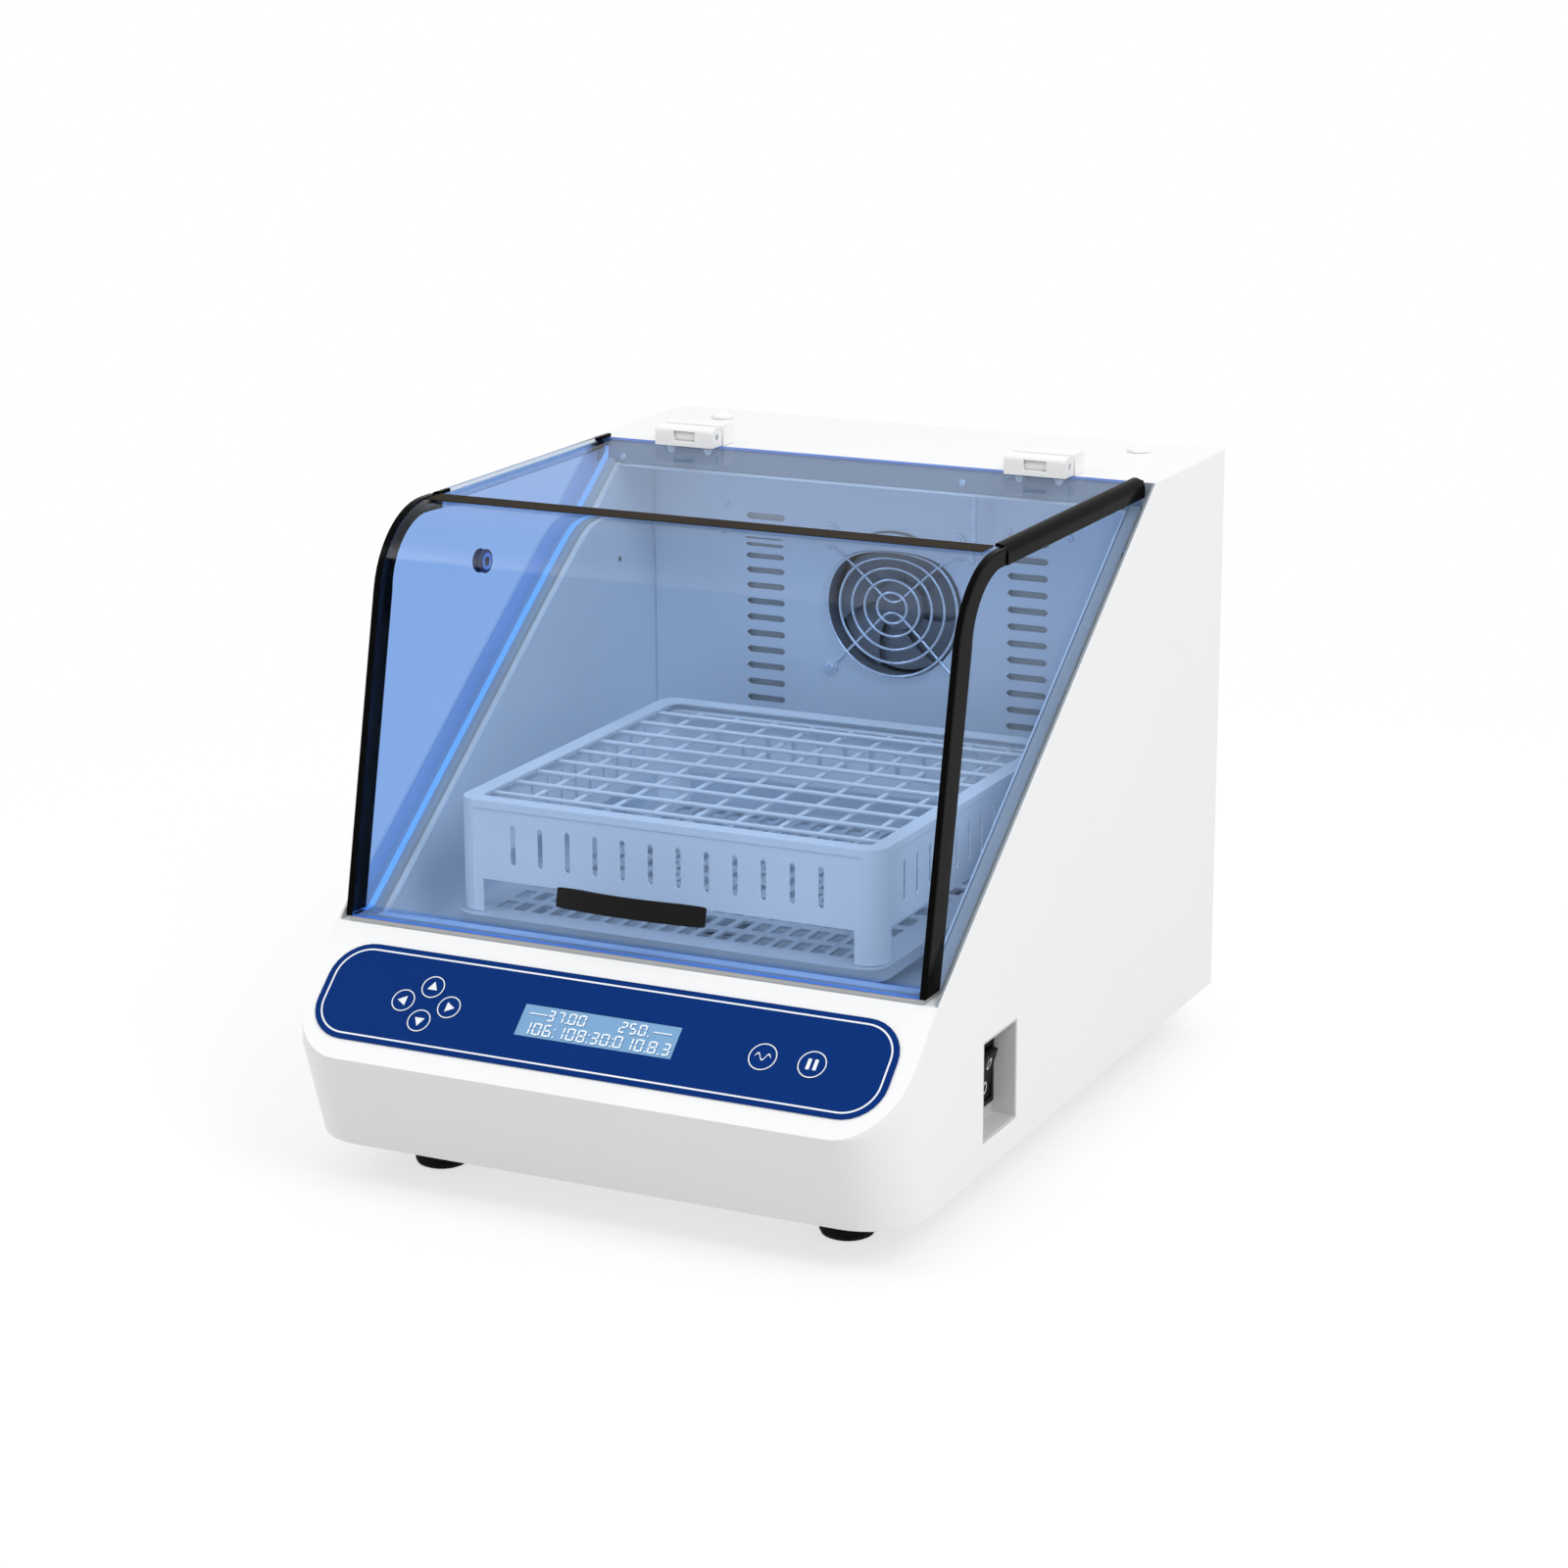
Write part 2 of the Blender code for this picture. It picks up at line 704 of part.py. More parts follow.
def case_solid(name, half, shift, corner, rear, low, high):
    """The casing's plan lofted up its undercut front to just over the lip and then straight up."""
    knee = LIP_HEIGHT + LIP_LAND
    fronts = [(height, CASE_DEPTH + (level - LIP_HEIGHT) * UNDERCUT) for height, level in
              ((low, low), (knee, knee), (high, knee))]
    return loft(name, [
        [place(x, depth, height) for x, depth in case_plan(half, front - shift, rear, corner)]
        for height, front in fronts
    ])


def lid_outline(inset, front_inset=None):
    """The lid's bent profile from the hinge edge to the bottom, inset from its outer face.

    The inset can change evenly round the bend to another one down the front."""
    last = inset if front_inset is None else front_inset
    bend = []
    for step in range(BEND_STEPS + 1):
        share = step / BEND_STEPS
        turn = pi / 2 + (LID_LEAN - pi / 2) * share
        reach = LID_BEND - inset - (last - inset) * share
        bend.append((BEND_DEPTH + reach * cos(turn), BEND_HEIGHT + reach * sin(turn)))
    foot = (LID_PLANE - last - sin(LID_LEAN) * LID_BOTTOM) / cos(LID_LEAN)
    return [(LID_REAR, LID_TOP - inset)] + bend + [(foot, LID_BOTTOM)]


# Casing and covers
def outer_casing():
    casing = case_solid("outer_casing", CASE_HALF, 0, CASE_CORNER, 0, 0, CASE_HEIGHT)
    far = CASE_DEPTH + BEYOND
    high = CASE_HEIGHT + BEYOND
    above = [
        (TOP_DEPTH, CASE_HEIGHT), (SILL_DEPTH, SILL_HEIGHT), (far, panel_height(far, 0)),
        (far, high), (TOP_DEPTH, high),
    ]
    cut(casing, side_plate("above_slope", [above], -CASE_WIDTH, CASE_WIDTH))
    cavity = case_solid(
        "casing_cavity", CASE_INNER, FRONT_SHIFT, CASE_CORNER - CASE_SHEET, -BEYOND, -BEYOND, high
    )
    under_sill = SILL_HEIGHT - CASE_SHEET
    panel_inner = SILL_DEPTH + (SILL_HEIGHT - under_sill - CASE_SHEET / cos(PANEL_SLOPE)) / tan(PANEL_SLOPE)
    inside = [
        (-2 * BEYOND, -2 * BEYOND), (-2 * BEYOND, CASE_HEIGHT - CASE_SHEET),
        (TOP_DEPTH - CASE_SHEET, CASE_HEIGHT - CASE_SHEET), (TOP_DEPTH - CASE_SHEET, HEADER_BOTTOM),
        (TOP_DEPTH, HEADER_BOTTOM), (TOP_DEPTH, high + BEYOND), (far, high + BEYOND),
        (far, SILL_HEIGHT), (SILL_BACK, SILL_HEIGHT), (SILL_BACK, under_sill),
        (panel_inner, under_sill), (far, panel_height(far, CASE_SHEET)), (far, -2 * BEYOND),
    ]
    combine(cavity, side_plate("casing_inside", [inside], -CASE_WIDTH, CASE_WIDTH), "INTERSECT")
    cut(casing, cavity)
    start, end = TOP_DEPTH - CASE_SHEET / 2, SILL_BACK + CASE_SHEET / 4
    flange = [
        (start, slope_height(start, SEAT_DROP)), (end, slope_height(end, SEAT_DROP)),
        (end, slope_height(end, SEAT_DROP + CASE_SHEET)), (start, slope_height(start, SEAT_DROP + CASE_SHEET)),
    ]
    inner, outer = LINER_HALF + GAP, CASE_INNER + CASE_SHEET / 2
    join(
        casing,
        side_plate("right_flange", [flange], inner, outer),
        side_plate("left_flange", [flange], -outer, -inner),
    )
    openings = [
        frame_box(
            "screen_window", PANEL, (-SCREEN_WIDTH / 2, SCREEN_WIDTH / 2),
            (KEY_ROW - SCREEN_HEIGHT / 2, KEY_ROW + SCREEN_HEIGHT / 2), (-BEYOND / 2, BEYOND / 2),
        ),
        box(
            "recess_hole", (CASE_HALF - BEYOND / 2, CASE_HALF + BEYOND),
            (RECESS_REAR, RECESS_REAR + RECESS_WIDTH), (RECESS_BOTTOM, RECESS_BOTTOM + RECESS_HEIGHT),
        ),
    ]
    for side in (-1, 1):
        openings.append(plan_plate(
            "plug_hole", [circle(PLUG_STEM + GAP, 12, side * PLUG_X, PLUG_DEPTH)],
            CASE_HEIGHT - BEYOND / 2, CASE_HEIGHT + BEYOND / 2,
        ))
    cut(casing, merged("casing_openings", openings + [key_hole(*key) for key in keys().values()]))
    return finish(casing, WHITE_PAINT)


def base_pan():
    half = CASE_INNER - GAP
    front = CASE_DEPTH - FRONT_UNDERCUT - FRONT_SHIFT - GAP
    rear = REAR_RECESS + COVER_SHEET + GAP
    corner = CASE_CORNER - CASE_SHEET - GAP
    pan = plan_plate("base_pan", [case_plan(half, front, rear, corner)], GAP, GAP + PAN_FLANGE)
    hollow = case_plan(half - PAN_SHEET, front - PAN_SHEET, rear + PAN_SHEET, corner - PAN_SHEET)
    cut(pan, plan_plate("pan_hollow", [hollow], PAN_FLOOR, PAN_FLOOR + PAN_FLANGE))
    return finish(pan, ZINC_PLATE)


def rear_cover():
    half = CASE_INNER - GAP
    low, high = 2 * GAP, CASE_HEIGHT - CASE_SHEET - GAP
    outline = [(-half, low), (half, low), (half, high), (-half, high)]
    inlet = rounded(INLET_WIDTH + 2 * GAP, INLET_TALL + 2 * GAP, INLET_CORNER, 2, INLET_X, INLET_HEIGHT)
    vents = [
        slot(VENT_LENGTH, VENT_WIDTH, side * VENT_X, VENT_BOTTOM + row * VENT_PITCH)
        for side in (-1, 1) for row in range(VENT_ROWS)
    ]
    cover = front_plate("rear_cover", [outline, inlet] + vents, REAR_RECESS, REAR_RECESS + COVER_SHEET)
    return finish(cover, WHITE_PAINT)


def feet():
    profile = [
        (0, 0), (FOOT_RADIUS - FOOT_TAPER, 0), (FOOT_RADIUS, -FOOT_EDGE),
        (FOOT_RADIUS, FOOT_EDGE - FOOT_HEIGHT), (FOOT_RADIUS - FOOT_EDGE / 3, FOOT_EDGE / 3 - FOOT_HEIGHT),
        (FOOT_RADIUS - FOOT_EDGE, -FOOT_HEIGHT), (0, -FOOT_HEIGHT),
    ]
    front = CASE_DEPTH - FRONT_UNDERCUT - FOOT_INSET
    for side, x in (("left", FOOT_INSET - CASE_HALF), ("right", CASE_HALF - FOOT_INSET)):
        for end, depth in (("front", front), ("rear", FOOT_INSET)):
            base = Matrix.Translation(place(x, depth, 0))
            finish(turned(f"foot_{end}_{side}", profile, base, 24), RUBBER)


# Chamber
def chamber_liner():
    front = CHAMBER_FRONT + LINER_SHEET
    ceiling = CHAMBER_CEILING + LINER_SHEET
    outline = [
        (WALL_BACK - LINER_SHEET, CHAMBER_FLOOR - LINER_SHEET), (front, CHAMBER_FLOOR - LINER_SHEET),
        (front, slope_height(front, SEAT_DROP)), (slope_depth(ceiling, SEAT_DROP), ceiling),
        (WALL_BACK - LINER_SHEET, ceiling),
    ]
    liner = side_plate("chamber_liner", [outline], -LINER_HALF, LINER_HALF)
    cut(liner, box(
        "chamber_space", (-CHAMBER_HALF, CHAMBER_HALF), (WALL_BACK - BEYOND, CHAMBER_FRONT),
        (CHAMBER_FLOOR, CHAMBER_CEILING),
    ))
    holes = [
        plan_plate("shaft_hole", [circle(SHAFT_HOLE_RADIUS, 20, *spot)], CHAMBER_FLOOR - BEYOND / 2,
                   CHAMBER_FLOOR + BEYOND / 2)
        for spot in (MAIN_CRANK, *IDLERS.values())
    ]
    holes.append(side_plate(
        "port_hole", [circle(PORT_RADIUS, 12, PORT_DEPTH, PORT_HEIGHT)],
        -CHAMBER_HALF - BEYOND / 2, BEYOND / 2 - CHAMBER_HALF,
    ))
    cut(liner, merged("liner_holes", holes))
    return finish(liner, STAINLESS)


def chamber_rear_wall():
    half = CHAMBER_HALF - GAP
    low, high = CHAMBER_FLOOR + GAP, CHAMBER_CEILING - GAP
    outlines = [[(-half, low), (half, low), (half, high), (-half, high)]]
    outlines.append(circle(FAN_OPENING, 32, 0, FAN_HEIGHT))
    for side in (-1, 1):
        for row in range(AIR_SLOTS):
            height = AIR_SLOT_BOTTOM + row * AIR_SLOT_PITCH
            outlines.append(slot(AIR_SLOT_LENGTH, AIR_SLOT_WIDTH, side * AIR_SLOT_CENTRE, height))
    return finish(front_plate("chamber_rear_wall", outlines, WALL_BACK, CHAMBER_REAR), STAINLESS)


def heater_coil():
    bend = HEATER_PITCH / 2
    setback = WALL_BACK - HEATER_SETBACK
    path = [place(-HEATER_HALF_WIDTH, WALL_BACK - GAP, HEATER_BOTTOM)]
    for turn in range(HEATER_PASSES):
        side = -1 if turn % 2 == 0 else 1
        height = HEATER_BOTTOM + turn * HEATER_PITCH
        path.append(place(side * HEATER_HALF_WIDTH, setback, height))
        if turn < HEATER_PASSES - 1:
            bends = arc(bend, -pi / 2, pi / 2, 4, HEATER_HALF_WIDTH, height + bend)
            path += [place(-side * x, setback, level) for x, level in bends]
    path.append(place(path[-1].x, WALL_BACK - GAP, HEATER_BOTTOM + (HEATER_PASSES - 1) * HEATER_PITCH))
    return finish(wires("heater_coil", HEATER_TUBE, [path], False, resolution=2), STEEL)


def fan_frame():
    rear, front = WALL_BACK - GAP - FAN_BODY, WALL_BACK - GAP
    square = rounded(FAN_SIZE, FAN_SIZE, FAN_CORNER, 2, 0, FAN_HEIGHT)
    body = front_plate("fan_frame", [square, circle(FAN_BORE, 32, 0, FAN_HEIGHT)], rear, front)
    hub = front_plate("fan_motor", [circle(FAN_HUB, 20, 0, FAN_HEIGHT)], rear + GAP, rear + STRUT_THICKNESS)
    root, reach = FAN_HUB - STRUT_THICKNESS, FAN_SIZE / 2 - STRUT_THICKNESS / 2
    depth = rear + STRUT_THICKNESS / 2 + GAP / 2
    spans = []
    for quarter in range(4):
        turn = STRUT_ANGLE + quarter * pi / 2
        x, up = cos(turn), sin(turn)
        spans.append((
            place(x * root, depth, FAN_HEIGHT + up * root),
            place(x * reach, depth, FAN_HEIGHT + up * reach),
        ))
    struts = rods("fan_struts", STRUT_THICKNESS / 2 - GAP, spans, 6)
    return finish(join(body, hub, struts), BLACK_PLASTIC)


def fan_impeller(carrier):
    rear = WALL_BACK - FAN_BODY + STRUT_THICKNESS + GAP
    front = WALL_BACK - IMPELLER_SETBACK
    middle = (rear + front) / 2
    hub = front_plate("fan_impeller", [circle(FAN_HUB, 28, 0, FAN_HEIGHT)], rear, front)
    blades = bmesh.new()
    inner, outer = FAN_HUB - BLADE_THICKNESS, FAN_TIP
    for index in range(FAN_BLADES):
        turn = Matrix.Rotation(2 * pi * index / FAN_BLADES, 4, "Y")
        pitch = Matrix.Rotation(BLADE_PITCH, 4, "X")
        stretch = Matrix.Diagonal((outer - inner, BLADE_THICKNESS, BLADE_CHORD, 1))
        reach = Matrix.Translation(((inner + outer) / 2, 0, 0))
        bmesh.ops.create_cube(blades, size=1.0, matrix=turn @ reach @ pitch @ stretch)
    blades = solid("fan_blades", blades, Matrix.Translation(place(0, middle, FAN_HEIGHT)))
    return finish(join(hub, blades), BLACK_PLASTIC, carrier)


def fan_guard():
    """Five rings on two bent wires, whose eyelets sit on the rear wall."""
    wall = CHAMBER_REAR + GAP
    wire_depth = wall + GUARD_LIFT
    ring_depth = wire_depth + GUARD_RING_LIFT
    rings = []
    for index in range(GUARD_RINGS):
        radius = GUARD_FIRST_RING + index * GUARD_RING_STEP
        steps = GUARD_RING_STEPS + GUARD_MORE_STEPS * index
        rings.append([place(x, ring_depth, up) for x, up in circle(radius, steps, 0, FAN_HEIGHT)])
    guard = wires("fan_guard", GUARD_WIRE, rings, True)
    bent = []
    for end in (-1, 1):
        corners = [(-GUARD_SCREWS, end * GUARD_SCREWS), (-GUARD_KNEE, end * GUARD_KNEE),
                   (GUARD_KNEE, end * GUARD_KNEE), (GUARD_SCREWS, end * GUARD_SCREWS)]
        bent.append([place(x, wire_depth, FAN_HEIGHT + up) for x, up in corners])
    eyelets = []
    for side in (-1, 1):
        for end in (-1, 1):
            x, height = side * (GUARD_SCREWS + EYELET_HOLE), FAN_HEIGHT + end * (GUARD_SCREWS + EYELET_HOLE)
            outlines = [circle(EYELET_RADIUS, 10, x, height), circle(EYELET_HOLE, 6, x, height)]
            eyelets.append(front_plate("eyelet", outlines, wall, wall + EYELET_THICKNESS))
    join(guard, wires("guard_wires", GUARD_WIRE, bent, False), merged("guard_eyelets", eyelets))
    return finish(guard, BRIGHT_WIRE)


def temperature_probe():
    top = CHAMBER_CEILING - GAP
    profile = [
        (0, 0), (GLAND_RADIUS, 0), (GLAND_RADIUS, -GLAND_LENGTH), (PROBE_RADIUS, -GLAND_LENGTH),
        (PROBE_RADIUS, PROBE_RADIUS / 2 - PROBE_LENGTH), (PROBE_RADIUS / 2, -PROBE_LENGTH), (0, -PROBE_LENGTH),
    ]
    base = Matrix.Translation(place(PROBE_X, PROBE_DEPTH, top))
    return finish(turned("temperature_probe", profile, base, 12), BRIGHT_WIRE)


def lid_seal():
    """Strips on both flanges, joined by one along the sill."""
    low, high = SEAT_DROP - GAP, SEAT_DROP - GAP - SEAL_THICKNESS
    sill_low, sill_high = SILL_HEIGHT + GAP, LID_BOTTOM - GAP
    start, front = LID_REAR, SILL_DEPTH - GAP
    strip = [
        (start, slope_height(start, high)), (slope_depth(sill_high, high), sill_high), (front, sill_high),
        (front, sill_low), (slope_depth(sill_low, low), sill_low), (start, slope_height(start, low)),
    ]
    outer = LID_HALF - GAP
    seal = side_plate("lid_seal", [strip], outer - SEAL_WIDTH, outer)
    left = side_plate("left_seal", [strip], -outer, SEAL_WIDTH - outer)
    trim = GAP / 3
    sill = box("sill_seal", (trim - outer, outer - trim), (front - SILL_SEAL, front - trim),
               (sill_low + trim, sill_high - trim))
    return finish(join(seal, left, sill), GREY_SEAL)


def lid_switch_pin():
    depth = PIN_DEPTH
    height = slope_height(depth, SEAT_DROP - GAP - PIN_RADIUS)
    span = (place(LID_HALF + GAP, depth, height), place(CASE_INNER - GAP, depth, height))
    return finish(rods("lid_switch_pin", PIN_RADIUS, [span], 16), STEEL)


# Lid
def lid_sheets(carrier):
    rear = SEAM_DEPTH - GAP / 2
    top = box("lid_top_sheet", (-LID_HALF, LID_HALF), (LID_REAR, rear), (LID_TOP - LID_SHEET, LID_TOP))
    finish(top, BLUE_ACRYLIC, carrier)
    start = SEAM_DEPTH + GAP / 2
    outer, inner = lid_outline(0)[1:], lid_outline(LID_SHEET)[1:]
    outline = [(start, LID_TOP)] + outer + inner[::-1] + [(start, LID_TOP - LID_SHEET)]
    finish(side_plate("lid_front_sheet", [outline], -LID_HALF, LID_HALF), BLUE_ACRYLIC, carrier)
    foot = slope_depth(LID_BOTTOM, LID_SEAT_DROP)
    seat = [(foot, LID_BOTTOM), (LID_REAR, slope_height(LID_REAR, LID_SEAT_DROP))]
    outline = lid_outline(LID_SHEET + GAP) + seat
    for name, side in (("left", -1), ("right", 1)):
        low, high = sorted((side * LID_HALF, side * (LID_HALF - LID_SHEET)))
        sheet = side_plate(f"lid_side_{name}", [outline], low, high)
        if side < 0:
            hole = circle(GROMMET_BARREL + GAP, 20, GROMMET_DEPTH, GROMMET_HEIGHT)
            cut(sheet, side_plate("grommet_hole", [hole], low - BEYOND / 2, high + BEYOND / 2))
        finish(sheet, BLUE_ACRYLIC, carrier)


def lid_trims(carrier):
    high = LID_TOP + GAP
    strip = box(
        "lid_seam_strip", (-(LID_HALF - TOP_TRIM_INSET - GAP), LID_HALF - TOP_TRIM_INSET - GAP),
        (SEAM_DEPTH - SEAM_STRIP / 2, SEAM_DEPTH + SEAM_STRIP / 2), (high, high + STRIP_THICKNESS),
    )
    finish(soften(strip, STRIP_THICKNESS / 3, 1), BLACK_TRIM, carrier)
    outer = lid_outline(0)[1:]
    inner = lid_outline(TOP_TRIM_DROP, FRONT_TRIM_WIDTH)[1:]
    front = [(TRIM_JOINT, LID_TOP)] + outer + inner[::-1] + [(TRIM_JOINT, LID_TOP - TOP_TRIM_DROP)]
    edge = LID_HALF + GAP
    crown = edge + TOP_TRIM_PROUD
    round_x, round_up = crown - TOP_TRIM_RADIUS, high + TOP_TRIM_PROUD - TOP_TRIM_RADIUS
    corner = arc(TOP_TRIM_RADIUS, 0, pi / 2, 6, round_x, round_up)
    inside = LID_HALF - TOP_TRIM_INSET
    section = [(edge, LID_TOP - TOP_TRIM_DROP), (crown, LID_TOP - TOP_TRIM_DROP)] + corner
    section += [(inside, high + TOP_TRIM_PROUD), (inside, high), (edge, high)]
    for name, side in (("left", -1), ("right", 1)):
        low, far = sorted((side * edge, side * (edge + STRIP_THICKNESS)))
        finish(side_plate(f"lid_front_trim_{name}", [front], low, far), BLACK_TRIM, carrier)
        outline = [(side * x, up) for x, up in section]
        trim = front_plate(f"lid_top_trim_{name}", [outline], LID_REAR, TRIM_JOINT - GAP)
        finish(trim, BLACK_TRIM, carrier)


def bow(half, rise):
    """Half of a bow's outline, from its middle to its end, seated on a clearance."""
    shares = [step / BOW_STEPS for step in range(BOW_STEPS + 1)]
    return [(half * share, GAP + rise * (1 - share ** 2)) for share in shares]


def lid_handle(carrier):
    """A shallow bow with flat end pads, bent in plan and seated on the sloped front sheet."""
    half = HANDLE_LENGTH / 2
    inner = bow(half - HANDLE_PAD, HANDLE_RISE - HANDLE_CROWN)
    outline = bow(half, HANDLE_RISE) + inner[::-1]
    outline += [(-x, rise) for x, rise in reversed(outline)][1:-1]
    flat = LID_FRONT @ Matrix.Rotation(pi / 2, 4, "X")
    handle = plate("lid_handle", [outline], -HANDLE_BAND / 2, HANDLE_BAND / 2, flat)
    return finish(handle, BLACK_PLASTIC, carrier)


def probe_port_grommet(carrier):
    sheet_half = LID_SHEET / 2 + GAP
    outer = sheet_half + GROMMET_RIM
    edge = GROMMET_RIM / 2
    half_profile = [
        (GROMMET_BORE, outer), (GROMMET_RADIUS - edge, outer), (GROMMET_RADIUS, outer - edge),
        (GROMMET_RADIUS, sheet_half), (GROMMET_BARREL, sheet_half),
    ]
    profile = half_profile + [(radius, -height) for radius, height in reversed(half_profile)]
    base = frame(place(LID_SHEET / 2 - LID_HALF, GROMMET_DEPTH, GROMMET_HEIGHT), (0, -1, 0), (0, 0, 1))
    return finish(turned("probe_port_grommet", profile, base, 16, closed=True), BLACK_TRIM, carrier)


# Hinges: a base on the casing's top, a leaf on the lid, and a pin through both
def hinge(name, x, carrier):
    axis_d, axis_h = HINGE_DEPTH, HINGE_AXIS_HEIGHT
    half, rise = HINGE_LENGTH / 2, HINGE_HEIGHT / 2
    ends = (x - half, x + half)
    knuckle = (x - KNUCKLE_LENGTH / 2 + GAP, x + KNUCKLE_LENGTH / 2 - GAP)
    rear = axis_d - HINGE_SWEEP
    back = rear - HINGE_BASE_DEPTH
    low, high = CASE_HEIGHT + GAP, axis_h + rise
    block = [
        (rear, low), (rear, high - HINGE_ROUND / 5), (rear - HINGE_ROUND / 5, high),
        (back + HINGE_ROUND / 2, high), (back, high - HINGE_ROUND / 2), (back, low),
    ]
    base = side_plate(f"hinge_base_{name}", [block], *ends)
    barrel = arc(KNUCKLE_RADIUS, asin(ARM_BOTTOM) - pi, pi + asin(ARM_TOP), 16, axis_d, axis_h)
    inside = rear - KNUCKLE_RADIUS
    arm = [(inside, axis_h - ARM_TOP * KNUCKLE_RADIUS), (inside, axis_h - ARM_BOTTOM * KNUCKLE_RADIUS)]
    round_bore = [circle(HINGE_PIN + GAP, 12, axis_d, axis_h)]
    bore = side_plate("hinge_bore", round_bore, x - HINGE_LENGTH, x + HINGE_LENGTH)
    cut(join(base, side_plate("hinge_arm", [barrel + arm], *knuckle)), bore)
    finish(base, WHITE_PLASTIC)
    front = axis_d + rise
    leaf_outline = [(axis_d - HINGE_FORWARD + GAP, LID_TOP + GAP), (front, LID_TOP + GAP)]
    leaf_outline += arc(HINGE_ROUND, 0, pi / 2, 4, front - HINGE_ROUND, high - HINGE_ROUND)
    leaf_outline += arc(rise, pi / 2, pi, 4, axis_d, axis_h)
    leaf = side_plate(f"hinge_leaf_{name}", [leaf_outline], *ends)
    swing = KNUCKLE_RADIUS + GAP
    view = asin(WINDOW_HALF / swing)
    pocket = [(axis_d - BEYOND, axis_h - BEYOND), (axis_d, axis_h - BEYOND)]
    pocket += arc(swing, -pi / 2, -view, 4, axis_d, axis_h)
    pocket += [(front + BEYOND, axis_h - WINDOW_HALF), (front + BEYOND, axis_h + WINDOW_HALF)]
    pocket += arc(swing, view, pi / 2, 4, axis_d, axis_h)
    pocket += [(axis_d, axis_h + BEYOND), (axis_d - BEYOND, axis_h + BEYOND)]
    leaf_bore = side_plate("leaf_bore", round_bore, x - HINGE_LENGTH, x + HINGE_LENGTH)
    cut(leaf, side_plate("knuckle_pocket", [pocket], x - KNUCKLE_LENGTH / 2, x + KNUCKLE_LENGTH / 2), leaf_bore)
    finish(leaf, WHITE_PLASTIC, carrier)
    span = (place(ends[0] + GAP, axis_d, axis_h), place(ends[1] - GAP, axis_d, axis_h))
    finish(rods(f"hinge_pin_{name}", HINGE_PIN, [span], 12), STEEL)


def top_plug(name, side):
    low = CASE_HEIGHT + GAP
    profile = [
        (0, PLUG_RISE), (PLUG_CREST_RADIUS, PLUG_CREST), (PLUG_SHOULDER_RADIUS, PLUG_SHOULDER),
        (PLUG_RADIUS, PLUG_RIM), (PLUG_RADIUS, 0), (PLUG_STEM, 0), (PLUG_STEM, -CASE_SHEET - PLUG_STEM),
        (0, -CASE_SHEET - PLUG_STEM),
    ]
    base = Matrix.Translation(place(side * PLUG_X, PLUG_DEPTH, low))
    return finish(turned(f"top_plug_{name}", profile, base, 20), WHITE_PLASTIC)


# Control panel
def keys():
    """Each key's place across and up the panel, and its radius."""
    return {
        "key_up": (ARROW_X, KEY_ROW + ARROW_SPREAD_V, ARROW_RADIUS),
        "key_left": (ARROW_X - ARROW_SPREAD_X, KEY_ROW, ARROW_RADIUS),
        "key_right": (ARROW_X + ARROW_SPREAD_X, KEY_ROW, ARROW_RADIUS),
        "key_down": (ARROW_X, KEY_ROW - ARROW_SPREAD_V, ARROW_RADIUS),
        "key_run": (RUN_X, KEY_ROW, RUN_RADIUS),
        "key_stop": (STOP_X, KEY_ROW, RUN_RADIUS),
    }


def key_hole(across, up, radius):
    return plate("key_hole", [circle(radius + GAP, 20, across, up)], -BEYOND / 2, BEYOND / 2, PANEL)


def control_overlay():
    window = rounded(SCREEN_WIDTH, SCREEN_HEIGHT, GAP, 1, 0, KEY_ROW)
    outlines = [rounded(OVERLAY_WIDTH, OVERLAY_HEIGHT, OVERLAY_CORNER, 8), window]
    outlines += [circle(radius + GAP, 20, across, up) for across, up, radius in keys().values()]
    return finish(plate("control_overlay", outlines, GAP, GAP + OVERLAY_SHEET, PANEL), NAVY_LABEL)


def display_module():
    back = -CASE_SHEET - GAP
    half, tall = SCREEN_WIDTH / 2, SCREEN_HEIGHT / 2
    block = frame_box(
        "display_module", PANEL, (-half - SCREEN_MARGIN, half + SCREEN_MARGIN),
        (KEY_ROW - tall - SCREEN_MARGIN, KEY_ROW + tall + SCREEN_MARGIN), (back - SCREEN_BLOCK, back),
    )
    glass = frame_box(
        "display_glass", PANEL, (GAP - half, half - GAP), (KEY_ROW - tall + GAP, KEY_ROW + tall - GAP),
        (back - SCREEN_BLOCK / 2, OVERLAY_SHEET),
    )
    return finish(join(block, glass), SCREEN_GLASS)


def control_keys(carriers):
    for name, (across, up, radius) in keys().items():
        top = GAP + OVERLAY_SHEET + KEY_PROUD
        low = top - KEY_THICKNESS
        profile = [
            (0, top), (radius - KEY_PROUD, top), (radius, top - KEY_PROUD), (radius, low),
            (KEY_STEM, low), (KEY_STEM, low - KEY_STEM_LENGTH), (0, low - KEY_STEM_LENGTH),
        ]
        base = PANEL @ Matrix.Translation((across, up, 0))
        finish(turned(name, profile, base, 20), NAVY_LABEL, carriers[name])


